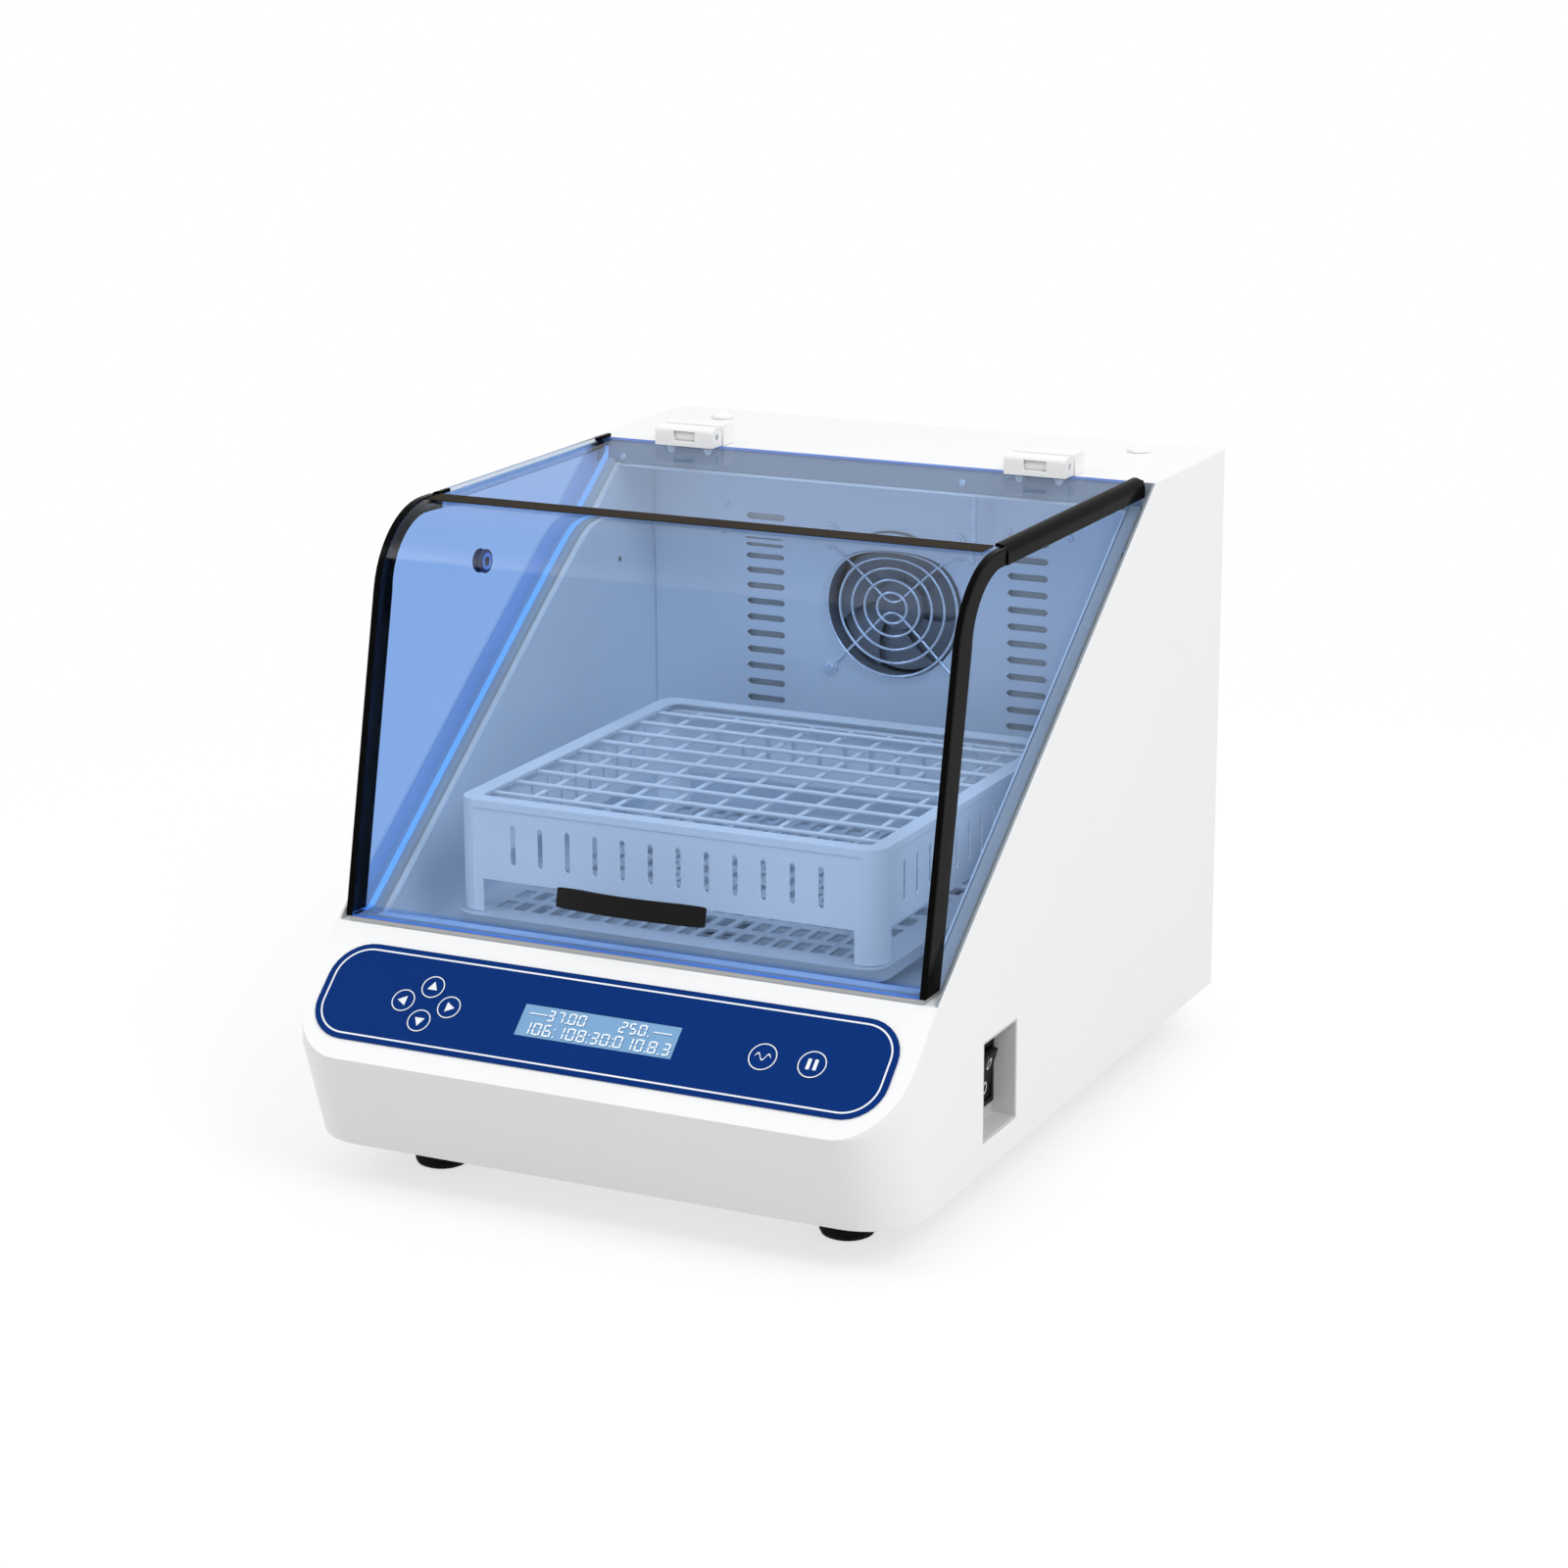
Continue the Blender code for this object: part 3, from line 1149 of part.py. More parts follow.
def control_board():
    """A board behind the display, with a small switch under each key and standoffs to the panel."""
    top = -CASE_SHEET - 2 * GAP - SCREEN_BLOCK - GAP
    reach = STOP_X + RUN_RADIUS
    tall = SCREEN_HEIGHT / 2 + BOARD_MARGIN
    board = frame_box(
        "control_board", PANEL, (-reach, reach), (KEY_ROW - tall, KEY_ROW + tall), (top - BOARD_SHEET, top)
    )
    stem_end = GAP + OVERLAY_SHEET + KEY_PROUD - KEY_THICKNESS - KEY_STEM_LENGTH
    switches = [
        frame_box("tact_switch", PANEL, (across - TACT_SIZE / 2, across + TACT_SIZE / 2),
                  (up - TACT_SIZE / 2, up + TACT_SIZE / 2), (top - BOARD_SHEET / 2, stem_end - KEY_TRAVEL - GAP))
        for across, up, _ in keys().values()
    ]
    posts = []
    for side in (-1, 1):
        for end in (-1, 1):
            across, up = side * (reach - 2 * STANDOFF_RADIUS), KEY_ROW + end * (tall - 2 * STANDOFF_RADIUS)
            ring = [circle(STANDOFF_RADIUS, 12, across, up)]
            posts.append(plate("standoff", ring, top - BOARD_SHEET / 2, -CASE_SHEET - GAP, PANEL))
    return finish(join(board, merged("board_parts", switches + posts)), CIRCUIT_BOARD)


# Mains switch
SWITCH_BACK = CASE_HALF - RECESS_DEEP
SWITCH_REAR = RECESS_REAR + SWITCH_EDGE
SWITCH_DEPTH = SWITCH_REAR + SWITCH_WIDTH / 2
SWITCH_MIDDLE = SWITCH_BOTTOM + SWITCH_HEIGHT / 2


def switch_housing():
    """A pocket behind the hole in the right side, with the switch in its back."""
    outer_x = CASE_HALF - GAP
    depth = (RECESS_REAR + GAP, RECESS_REAR + RECESS_WIDTH - GAP)
    height = (RECESS_BOTTOM + GAP, RECESS_BOTTOM + RECESS_HEIGHT - GAP)
    pocket = box("switch_housing", (SWITCH_BACK - RECESS_WALL, outer_x), depth, height)
    wall = RECESS_WALL
    cut(pocket, box("pocket_space", (SWITCH_BACK, outer_x + BEYOND), (depth[0] + wall, depth[1] - wall),
                    (height[0] + wall, height[1] - wall)))
    rim = SWITCH_RIM - GAP
    cut(pocket, box(
        "switch_hole", (SWITCH_BACK - BEYOND, SWITCH_BACK + wall / 2),
        (SWITCH_REAR + rim, SWITCH_REAR + SWITCH_WIDTH - rim),
        (SWITCH_BOTTOM + rim, SWITCH_BOTTOM + SWITCH_HEIGHT - rim),
    ))
    return finish(pocket, WHITE_PLASTIC)


def switch_frame():
    face = SWITCH_BACK + GAP + SWITCH_BEZEL
    depth = (SWITCH_REAR, SWITCH_REAR + SWITCH_WIDTH)
    height = (SWITCH_BOTTOM, SWITCH_BOTTOM + SWITCH_HEIGHT)
    bezel = box("switch_frame", (SWITCH_BACK + GAP, face), depth, height)
    rim = SWITCH_RIM
    body_low = SWITCH_BACK - SWITCH_BODY
    body = box("switch_body", (body_low, face - SWITCH_BEZEL / 2), (depth[0] + rim, depth[1] - rim),
               (height[0] + rim, height[1] - rim))
    well = rim + PART_LINE
    space = box("switch_well", (body_low + PART_LINE * 2, face + BEYOND), (depth[0] + well, depth[1] - well),
                (height[0] + well, height[1] - well))
    return finish(cut(join(bezel, body), space), BLACK_PLASTIC)


def power_rocker(carrier):
    """The rocker's paddle, drawn square in its frame and then tilted to its rest."""
    half = SWITCH_HEIGHT / 2 - SWITCH_RIM - 2 * PART_LINE
    tips = ROCKER_FACE + ROCKER_RISE
    outline = [(ROCKER_FACE, 0), (tips, half), (0, half), (-ROCKER_KEEL, half / 3), (-ROCKER_KEEL, -half / 3),
               (0, -half), (tips, -half)]
    pivot = place(SWITCH_BACK + GAP + SWITCH_BEZEL - ROCKER_FACE, SWITCH_DEPTH, SWITCH_MIDDLE)
    base = Matrix.Translation(pivot) @ Matrix.Rotation(ROCKER_TILT, 4, "Y") @ Matrix.Rotation(pi / 2, 4, "X")
    across = SWITCH_WIDTH / 2 - SWITCH_RIM - PART_LINE - GAP
    return finish(plate("power_rocker", [outline], -across, across, base), BLACK_PLASTIC, carrier)


# Mains inlet and power supply
def mains_inlet():
    """A recessed three-pin inlet, its flange seated on the rear cover."""
    wide, tall = INLET_WIDTH, INLET_TALL
    cover = REAR_RECESS
    middle = (INLET_X, INLET_HEIGHT)
    rim = rounded(wide + 2 * INLET_FLANGE, tall + INLET_FLANGE, INLET_CORNER, 2, *middle)
    inlet = front_plate("mains_inlet", [rim], cover - GAP - INLET_FLANGE_SHEET, cover - GAP)
    body = front_plate("inlet_body", [rounded(wide, tall, INLET_CORNER, 3, *middle)],
                       cover - GAP - INLET_FLANGE_SHEET / 2, cover + INLET_BODY)
    inside = rounded(wide - 2 * INLET_WALL, tall - 2 * INLET_WALL, INLET_CORNER - INLET_WALL, 2, *middle)
    socket = front_plate("inlet_socket", [inside], -BEYOND, cover + INLET_BODY - 2 * INLET_WALL)
    back = cover + INLET_BODY - INLET_WALL
    half_sheet, half_width = INLET_PIN_SHEET / 2, INLET_PIN_WIDTH / 2
    spots = ((-INLET_PIN_SPREAD, INLET_PIN_LOW), (0, INLET_PIN_HIGH), (INLET_PIN_SPREAD, INLET_PIN_LOW))
    pins = [
        box("inlet_pin", (INLET_X + x - half_sheet, INLET_X + x + half_sheet), (back - INLET_PIN_LENGTH, back),
            (INLET_HEIGHT + up - half_width, INLET_HEIGHT + up + half_width))
        for x, up in spots
    ]
    cut(join(inlet, body), socket)
    return finish(join(inlet, merged("inlet_pins", pins)), BLACK_PLASTIC)


def power_supply():
    low = PAN_FLOOR + GAP
    rear = SUPPLY_REAR + REAR_RECESS
    case = box("power_supply", (SUPPLY_X - SUPPLY_WIDTH / 2, SUPPLY_X + SUPPLY_WIDTH / 2),
               (rear, rear + SUPPLY_LENGTH), (low, low + SUPPLY_HEIGHT))
    return finish(soften(case, SUPPLY_EDGE, 1), ZINC_PLATE)


# Orbital drive
def bearing(name, spot, radius, bore):
    """A bearing housing on the deck, and the cutter for its bore."""
    top = DECK_TOP + BEARING_HEIGHT
    housing = plan_plate(name, [circle(radius, 24, *spot)], DECK_TOP - DECK_SHEET / 2, top)
    return housing, plan_plate(name + "_bore", [circle(bore, 20, *spot)], 0, top + BEYOND / 2)


def drive_deck():
    """A folded deck on the base pan, with the three bearing housings on it."""
    low = PAN_FLOOR + GAP
    half = DECK_WIDTH / 2
    inner = half - DECK_SHEET
    outline = [(-half, low), (-half, DECK_TOP), (half, DECK_TOP), (half, low), (inner, low),
               (inner, DECK_TOP - DECK_SHEET), (-inner, DECK_TOP - DECK_SHEET), (-inner, low)]
    deck = front_plate("drive_deck", [outline], ORBIT_DEPTH - DECK_DEPTH / 2, ORBIT_DEPTH + DECK_DEPTH / 2)
    sets = [bearing("main_bearing", MAIN_CRANK, BEARING_RADIUS, MAIN_SHAFT + GAP)]
    for name, spot in IDLERS.items():
        sets.append(bearing(f"idler_bearing_{name}", spot, IDLER_BEARING_RADIUS, IDLER_SHAFT + GAP))
    join(deck, merged("bearings", [housing for housing, _ in sets]))
    cut(deck, merged("bearing_bores", [hole for _, hole in sets]))
    return finish(deck, CAST_METAL)


def crank_pin(name, spot):
    """The eccentric pin on a crank's disc."""
    round_pin = [circle(CRANK_PIN, 16, spot[0] + ORBIT_X, spot[1] + ORBIT_D)]
    return plan_plate(name, round_pin, DISC_TOP - CRANK_DISC / 2, DISC_TOP + PIN_LENGTH)


def pulley_profile(radius, bottom):
    """The flanged rim of a belt pulley, down its outer side."""
    top = bottom + PULLEY_HEIGHT
    rim = radius + PULLEY_RIM
    return [(rim, top), (rim, top - PULLEY_FLANGE), (radius, top - PULLEY_FLANGE),
            (radius, bottom + PULLEY_FLANGE), (rim, bottom + PULLEY_FLANGE), (rim, bottom)]


def main_crank(carrier):
    """Shaft, driven pulley, counterweight, disc and pin in one rigid piece."""
    tail = DECK_TOP - DECK_SHEET - SHAFT_TAIL
    profile = [(0, DISC_TOP), (MAIN_DISC, DISC_TOP), (MAIN_DISC, DISC_BOTTOM), (MAIN_SHAFT, DISC_BOTTOM),
               (MAIN_SHAFT, PULLEY_TOP)]
    profile += pulley_profile(PULLEY_RADIUS, PULLEY_BOTTOM)
    profile += [(MAIN_SHAFT, PULLEY_BOTTOM), (MAIN_SHAFT, tail), (0, tail)]
    x, depth = MAIN_CRANK
    crank = turned("main_crank", profile, Matrix.Translation(place(x, depth, 0)), 28)
    half_turn = arc(WEIGHT_RADIUS, pi - REST_PHASE - pi / 2, pi - REST_PHASE + pi / 2, 12)
    weight = plan_plate(
        "counterweight", [[(x + u, depth - v) for u, v in half_turn]], WEIGHT_BOTTOM, WEIGHT_BOTTOM + WEIGHT_HEIGHT
    )
    return finish(join(crank, weight, crank_pin("main_pin", MAIN_CRANK)), STEEL, carrier)


def idler_crank(name, spot, carrier):
    tail = DECK_TOP - DECK_SHEET - SHAFT_TAIL
    profile = [(0, DISC_TOP), (IDLER_DISC, DISC_TOP), (IDLER_DISC, DISC_BOTTOM), (IDLER_SHAFT, DISC_BOTTOM),
               (IDLER_SHAFT, tail), (0, tail)]
    crank = turned(f"idler_crank_{name}", profile, Matrix.Translation(place(*spot, 0)), 24)
    return finish(join(crank, crank_pin(f"idler_pin_{name}", spot)), STEEL, carrier)


def motor():
    low, high = DECK_TOP + GAP, DECK_TOP + GAP + MOTOR_HEIGHT
    bore = MOTOR_SHAFT + GAP
    bottom = high - MOTOR_SHAFT_DEEP - GAP
    profile = [(0, bottom), (bore, bottom), (bore, high), (MOTOR_RADIUS - MOTOR_EDGE, high),
               (MOTOR_RADIUS, high - MOTOR_EDGE), (MOTOR_RADIUS, low), (0, low)]
    base = Matrix.Translation(place(MOTOR_X, MAIN_CRANK[1], 0))
    return finish(turned("motor", profile, base, 24), CAST_METAL)


def motor_pulley(carrier):
    tail = DECK_TOP + GAP + MOTOR_HEIGHT - MOTOR_SHAFT_DEEP
    profile = [(0, PULLEY_TOP)] + pulley_profile(MOTOR_PULLEY_RADIUS, PULLEY_BOTTOM)
    profile += [(MOTOR_SHAFT, PULLEY_BOTTOM), (MOTOR_SHAFT, tail), (0, tail)]
    base = Matrix.Translation(place(MOTOR_X, MAIN_CRANK[1], 0))
    return finish(turned("motor_pulley", profile, base, 16), STEEL, carrier)


def belt_outline(offset):
    """The line that wraps both pulleys, offset from their belt faces."""
    span = MAIN_CRANK[0] - MOTOR_X
    contact = acos((PULLEY_RADIUS - MOTOR_PULLEY_RADIUS) / span)
    driven = arc(PULLEY_RADIUS + offset, contact - pi, pi - contact, 24, *MAIN_CRANK)
    small = arc(MOTOR_PULLEY_RADIUS + offset, pi - contact, pi + contact, 8, MOTOR_X, MAIN_CRANK[1])
    return driven + small


def belt():
    low, high = PULLEY_BOTTOM + PULLEY_FLANGE + GAP, PULLEY_TOP - PULLEY_FLANGE - GAP
    loop = plan_plate("belt", [belt_outline(GAP + BELT_THICKNESS), belt_outline(GAP)], low, high)
    return finish(loop, RUBBER)


# Shaking platform
def shaking_platform(carrier):
    """A perforated tray with a skirt, and a blind boss over each crank pin."""
    wide, long = 2 * PLATFORM_HALF, 2 * PLATFORM_HALF_D
    middle = (PLATFORM_X, PLATFORM_D)
    low = PLATFORM_TOP - PLATFORM_SKIRT
    tray = plan_plate("shaking_platform", [rounded(wide, long, PLATFORM_CORNER, 5, *middle)], low, PLATFORM_TOP)
    wall = 2 * PLATFORM_SHEET
    hollow = rounded(wide - wall, long - wall, PLATFORM_CORNER - PLATFORM_SHEET, 5, *middle)
    cut(tray, plan_plate("tray_hollow", [hollow], low - BEYOND, PLATFORM_TOP - PLATFORM_SHEET))
    holes = [
        box("platform_hole", (PLATFORM_X + x - HOLE_WIDTH / 2, PLATFORM_X + x + HOLE_WIDTH / 2),
            (PLATFORM_D + d - HOLE_LENGTH / 2, PLATFORM_D + d + HOLE_LENGTH / 2),
            (PLATFORM_TOP - BEYOND / 2, PLATFORM_TOP + BEYOND / 2))
        for x in spread(HOLE_COLUMNS, HOLE_PITCH_X) for d in spread(HOLE_ROWS, HOLE_PITCH_Y)
    ]
    cut(tray, merged("platform_holes", holes))
    bosses, bores = [], []
    for x, depth in (MAIN_CRANK, *IDLERS.values()):
        spot = (x + ORBIT_X, depth + ORBIT_D)
        bosses.append(plan_plate("boss", [circle(BOSS_RADIUS, 16, *spot)], DISC_TOP + GAP, PLATFORM_TOP - GAP))
        bores.append(plan_plate("boss_bore", [circle(CRANK_PIN + GAP, 16, *spot)], DISC_TOP - BEYOND,
                                DISC_TOP + PIN_LENGTH + GAP))
    join(tray, merged("bosses", bosses))
    cut(tray, merged("boss_bores", bores))
    return finish(tray, RACK_PAINT, carrier)


# Tube rack
def rack_body(carrier):
    """A bent sheet box with a flat rim, slotted sides and four corner legs."""
    wide, long = 2 * RACK_HALF, 2 * RACK_HALF_D
    middle = (PLATFORM_X, PLATFORM_D)
    wall = 2 * RACK_SHEET
    body = plan_plate("rack_body", [rounded(wide, long, RACK_CORNER, 5, *middle)], RACK_BOTTOM, RACK_TOP)
    hollow = rounded(wide - wall, long - wall, RACK_CORNER - RACK_SHEET, 5, *middle)
    cut(body, plan_plate("rack_hollow", [hollow], RACK_BOTTOM - BEYOND, RACK_TOP - RACK_SHEET))
    mouth = rounded(wide - 2 * RACK_RIM, long - 2 * RACK_RIM, RACK_CORNER / 2, 3, *middle)
    cut(body, plan_plate("rack_mouth", [mouth], RACK_TOP - BEYOND / 2, RACK_TOP + BEYOND))
    x_low, x_high = PLATFORM_X - RACK_HALF - BEYOND, PLATFORM_X + RACK_HALF + BEYOND
    d_low, d_high = PLATFORM_D - RACK_HALF_D - BEYOND, PLATFORM_D + RACK_HALF_D + BEYOND
    gap = (RACK_BOTTOM - BEYOND, RACK_BOTTOM + RACK_LEG_GAP)
    leg = RACK_LEG_WIDTH + BEYOND
    cut(body, box("front_gap", (x_low + leg, x_high - leg), (d_low, d_high), gap))
    cut(body, box("side_gap", (x_low, x_high), (d_low + leg, d_high - leg), gap))
    middle_height = RACK_BOTTOM + RACK_SLOT_BOTTOM + RACK_SLOT_HEIGHT / 2
    across = [
        front_plate("rack_slot", [slot(RACK_SLOT_HEIGHT, RACK_SLOT_WIDTH, PLATFORM_X + x, middle_height, True)],
                    d_low, d_high)
        for x in spread(RACK_SLOTS, RACK_SLOT_PITCH)
    ]
    along = [
        side_plate("rack_slot", [slot(RACK_SLOT_HEIGHT, RACK_SLOT_WIDTH, PLATFORM_D + d, middle_height, True)],
                   x_low, x_high)
        for d in spread(RACK_SLOTS, RACK_SLOT_PITCH)
    ]
    cut(body, merged("slots_across", across), merged("slots_along", along))
    return finish(body, RACK_PAINT, carrier)


def rack_wires(carrier):
    """Two ladders of wire under the rim, one across the other."""
    mouth, mouth_d = RACK_HALF - RACK_RIM, RACK_HALF_D - RACK_RIM
    reach, reach_d = mouth + RAIL_OUTSET, mouth_d + RAIL_OUTSET
    upper = RACK_TOP - RACK_SHEET - GAP - RAIL_RADIUS
    lower = upper - 2 * RAIL_RADIUS - GAP
    middle_x, middle_d = PLATFORM_X, PLATFORM_D

    def spot(x, depth, height):
        return place(middle_x + x, middle_d + depth, height)

    rails = [(spot(side * reach, -reach_d, upper), spot(side * reach, reach_d, upper)) for side in (-1, 1)]
    rungs = [(spot(-reach, d, upper), spot(reach, d, upper)) for d in spread(WIRE_COUNT, WIRE_PITCH_Y)]
    ladder = rods("rack_wires_x", WIRE_RADIUS, rungs, 8)
    finish(join(ladder, rods("rails_x", RAIL_RADIUS, rails, 8, twist=pi / 8)), RACK_PAINT, carrier)
    rails = [(spot(-reach, end * reach_d, lower), spot(reach, end * reach_d, lower)) for end in (-1, 1)]
    rungs = [(spot(x, -reach_d, lower), spot(x, reach_d, lower)) for x in spread(WIRE_COUNT, WIRE_PITCH_X)]
    ladder = rods("rack_wires_y", WIRE_RADIUS, rungs, 8)
    finish(join(ladder, rods("rails_y", RAIL_RADIUS, rails, 8, twist=pi / 8)), RACK_PAINT, carrier)


def build():
    outer_casing()
    base_pan()
    rear_cover()
    feet()
    chamber_liner()
    chamber_rear_wall()
    heater_coil()
    fan_frame()
    fan_impeller(axis("fan_axis", place(0, WALL_BACK, FAN_HEIGHT)))
    fan_guard()
    temperature_probe()
    lid_seal()
    lid_switch_pin()

    lid_axis = axis("lid_axis", place(0, HINGE_DEPTH, HINGE_AXIS_HEIGHT))
    lid_sheets(lid_axis)
    lid_trims(lid_axis)
    lid_handle(lid_axis)
    probe_port_grommet(lid_axis)
    for name, side in (("left", -1), ("right", 1)):
        hinge(name, side * HINGE_X, lid_axis)
        top_plug(name, side)

    control_overlay()
    display_module()
    control_keys({
        name: axis(name + "_slide", PANEL @ Vector((across, up, 0))) for name, (across, up, _) in keys().items()
    })
    control_board()
    switch_housing()
    switch_frame()
    rocker_pivot = place(SWITCH_BACK + GAP + SWITCH_BEZEL - ROCKER_FACE, SWITCH_DEPTH, SWITCH_MIDDLE)
    power_rocker(axis("rocker_axis", rocker_pivot))
    mains_inlet()
    power_supply()

    drive_deck()
    main_crank(axis("main_crank_axis", place(*MAIN_CRANK, DISC_TOP)))
    for name, spot in IDLERS.items():
        idler_crank(name, spot, axis(f"idler_{name}_axis", place(*spot, DISC_TOP)))
    motor()
    motor_pulley(axis("motor_axis", place(MOTOR_X, MAIN_CRANK[1], PULLEY_BOTTOM)))
    belt()

    platform_axis = axis("platform_axis", place(MAIN_CRANK[0] + ORBIT_X, MAIN_CRANK[1] + ORBIT_D, DISC_TOP))
    shaking_platform(platform_axis)
    rack_body(platform_axis)
    rack_wires(platform_axis)


build()
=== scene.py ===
"""Looks of the shaking incubator: materials, fine pieces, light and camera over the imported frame."""

import json
from math import atan2, cos, pi, radians, sin, sqrt

import bmesh
import bpy
from mathutils import Matrix, Vector
from mathutils.bvhtree import BVHTree
from mathutils.geometry import convex_hull_2d


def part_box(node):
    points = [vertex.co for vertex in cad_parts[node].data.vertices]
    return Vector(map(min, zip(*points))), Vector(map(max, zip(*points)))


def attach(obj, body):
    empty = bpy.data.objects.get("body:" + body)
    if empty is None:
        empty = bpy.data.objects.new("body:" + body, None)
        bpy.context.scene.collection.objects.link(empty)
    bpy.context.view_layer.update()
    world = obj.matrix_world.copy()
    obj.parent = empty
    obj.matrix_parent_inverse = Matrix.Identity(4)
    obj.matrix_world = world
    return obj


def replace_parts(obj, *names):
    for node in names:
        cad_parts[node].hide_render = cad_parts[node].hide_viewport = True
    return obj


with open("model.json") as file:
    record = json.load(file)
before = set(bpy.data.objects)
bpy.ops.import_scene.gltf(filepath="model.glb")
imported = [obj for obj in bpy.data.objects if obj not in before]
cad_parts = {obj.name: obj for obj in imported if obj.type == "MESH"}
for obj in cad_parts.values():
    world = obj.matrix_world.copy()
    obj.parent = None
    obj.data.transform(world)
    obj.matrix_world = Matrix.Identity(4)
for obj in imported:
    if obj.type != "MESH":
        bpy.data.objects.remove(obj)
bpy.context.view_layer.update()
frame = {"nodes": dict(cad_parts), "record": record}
NODES = frame["nodes"]

# Driving values, in metres and radians. Depths run forward from the rear plane, and heights up from the
# casing's bottom edge.
REAR_Y = 0.3092
FOOT_HEIGHT = 0.033
PANEL_SLOPE = atan2(0.0715, 0.0813)
INK = 0.00006
SAME = 0.00002
LINE_INSET, LINE_WIDTH, LINE_CORNER = 0.0044, 0.0013, 0.0246
ARROW_RING, ROUND_RING, RING_LINE, ARROW_SIZE = 0.0087, 0.0102, 0.0008, 0.0044
FIGURE_LINE = 0.0013
FIGURE_HALF, FIGURE_STEP, POINT_STEP, COLON_RISE = 0.26, 0.84, 0.2, 0.4
FAN_HEIGHT = 0.3
GUARD_WIRE, WIRE_SIDES = 0.0011, 3
GUARD_FIRST_RING, GUARD_RING_STEP, GUARD_RINGS = 0.0125, 0.0105, 5
GUARD_KNEE, GUARD_BAR_END, EYELET = 0.0075, 0.051, 0.0534
EYELET_RADIUS, EYELET_HOLE, EYELET_THICKNESS = 0.0058, 0.003, 0.0015
TRAY_SHEET, TRAY_SKIRT, TRAY_CORNER, TRAY_SLOT_CORNER = 0.002, 0.009, 0.018, 0.0012
TRAY_COLUMNS, TRAY_PITCH_X, TRAY_SLOT_WIDTH = 20, 0.0145, 0.0095
TRAY_ROWS, TRAY_PITCH_Y, TRAY_SLOT_LENGTH = 11, 0.0275, 0.0185
WIRE_COUNT, WIRE_PITCH_X, WIRE_PITCH_Y = 9, 0.032, 0.0315
WIRE_RADIUS, RAIL_RADIUS = 0.0016, 0.0018
HINGE_X = 0.1435
WALL_SCREW, HEADER_SCREW, COVER_SCREW, GUARD_SCREW = 0.003, 0.0024, 0.0035, 0.004

# Camera, from the fit to the photograph
CAMERA_PLACE = (1.2017, -2.4626, 0.9957)
CAMERA_YAW = radians(25.84)
CAMERA_PITCH = radians(15.33)
CAMERA_ROLL = radians(-0.2)
CAMERA_LENS, CAMERA_SENSOR = 89.8, 36


# Node helpers
class Tree:
    """The nodes of a material or world, built one at a time and placed in a row."""

    def __init__(self, owner, shader="Principled BSDF", out="Material Output"):
        owner.use_nodes = True
        self.owner = owner
        self.nodes = owner.node_tree.nodes
        self.shader = self.nodes[shader]
        self.out = self.nodes[out]
        self.count = 0

    def add(self, kind, **settings):
        node = self.nodes.new(kind)
        self.count += 1
        node.location = (-220 * self.count, -200 * (self.count % 4))
        for key, value in settings.items():
            setattr(node, key, value)
        return node

    def link(self, source, target):
        self.owner.node_tree.links.new(source, target)

    def place(self, stretch=(1, 1, 1)):
        """Object coordinates, which are metres, scaled per axis."""
        coordinates = self.add("ShaderNodeTexCoord")
        mapping = self.add("ShaderNodeMapping")
        mapping.inputs["Scale"].default_value = stretch
        self.link(coordinates.outputs["Object"], mapping.inputs["Vector"])
        return mapping.outputs["Vector"]

    def noise(self, scale, detail=4.0, stretch=(1, 1, 1)):
        noise = self.add("ShaderNodeTexNoise")
        noise.inputs["Scale"].default_value = scale
        noise.inputs["Detail"].default_value = detail
        self.link(self.place(stretch), noise.inputs["Vector"])
        return noise.outputs["Fac"]

    def span(self, source, low, high):
        """A factor spread between two values, taken from the middle of its range."""
        spread = self.add("ShaderNodeMapRange")
        spread.inputs["From Min"].default_value = 0.3
        spread.inputs["From Max"].default_value = 0.7
        spread.inputs["To Min"].default_value = low
        spread.inputs["To Max"].default_value = high
        self.link(source, spread.inputs["Value"])
        return spread.outputs["Result"]

    def tones(self, source, first, second):
        """A colour between two, by a factor."""
        mix = self.add("ShaderNodeMix", data_type="RGBA")
        mix.inputs["A"].default_value = (*first, 1)
        mix.inputs["B"].default_value = (*second, 1)
        self.link(source, mix.inputs["Factor"])
        return mix.outputs["Result"]

    def bump(self, source, strength, distance):
        bump = self.add("ShaderNodeBump")
        bump.inputs["Strength"].default_value = strength
        bump.inputs["Distance"].default_value = distance
        self.link(source, bump.inputs["Height"])
        self.link(bump.outputs["Normal"], self.shader.inputs["Normal"])

    def any_of(self, *names):
        """One for a ray of any of these kinds, and otherwise nought."""
        rays = self.add("ShaderNodeLightPath")
        first = rays.outputs[names[0]]
        for name in names[1:]:
            either = self.add("ShaderNodeMath", operation="MAXIMUM")
            self.link(first, either.inputs[0])
            self.link(rays.outputs[name], either.inputs[1])
            first = either.outputs[0]
        return first

    def mixed(self, factor, output, second):
        """The surface as a mix of the tree's own shader and a second one."""
        mix = self.add("ShaderNodeMixShader")
        self.link(factor, mix.inputs["Fac"])
        self.link(self.shader.outputs[output], mix.inputs[1])
        self.link(second, mix.inputs[2])
        self.link(mix.outputs["Shader"], self.out.inputs["Surface"])


def linear(*levels):
    """Linear colour of 0-255 display levels."""
    parts = [level / 255 for level in levels]
    return tuple(part / 12.92 if part <= 0.04045 else ((part + 0.055) / 1.055) ** 2.4 for part in parts)


def shade(colour, factor):
    """A colour made lighter or darker by a factor."""
    return tuple(min(1.0, part * factor) for part in colour)


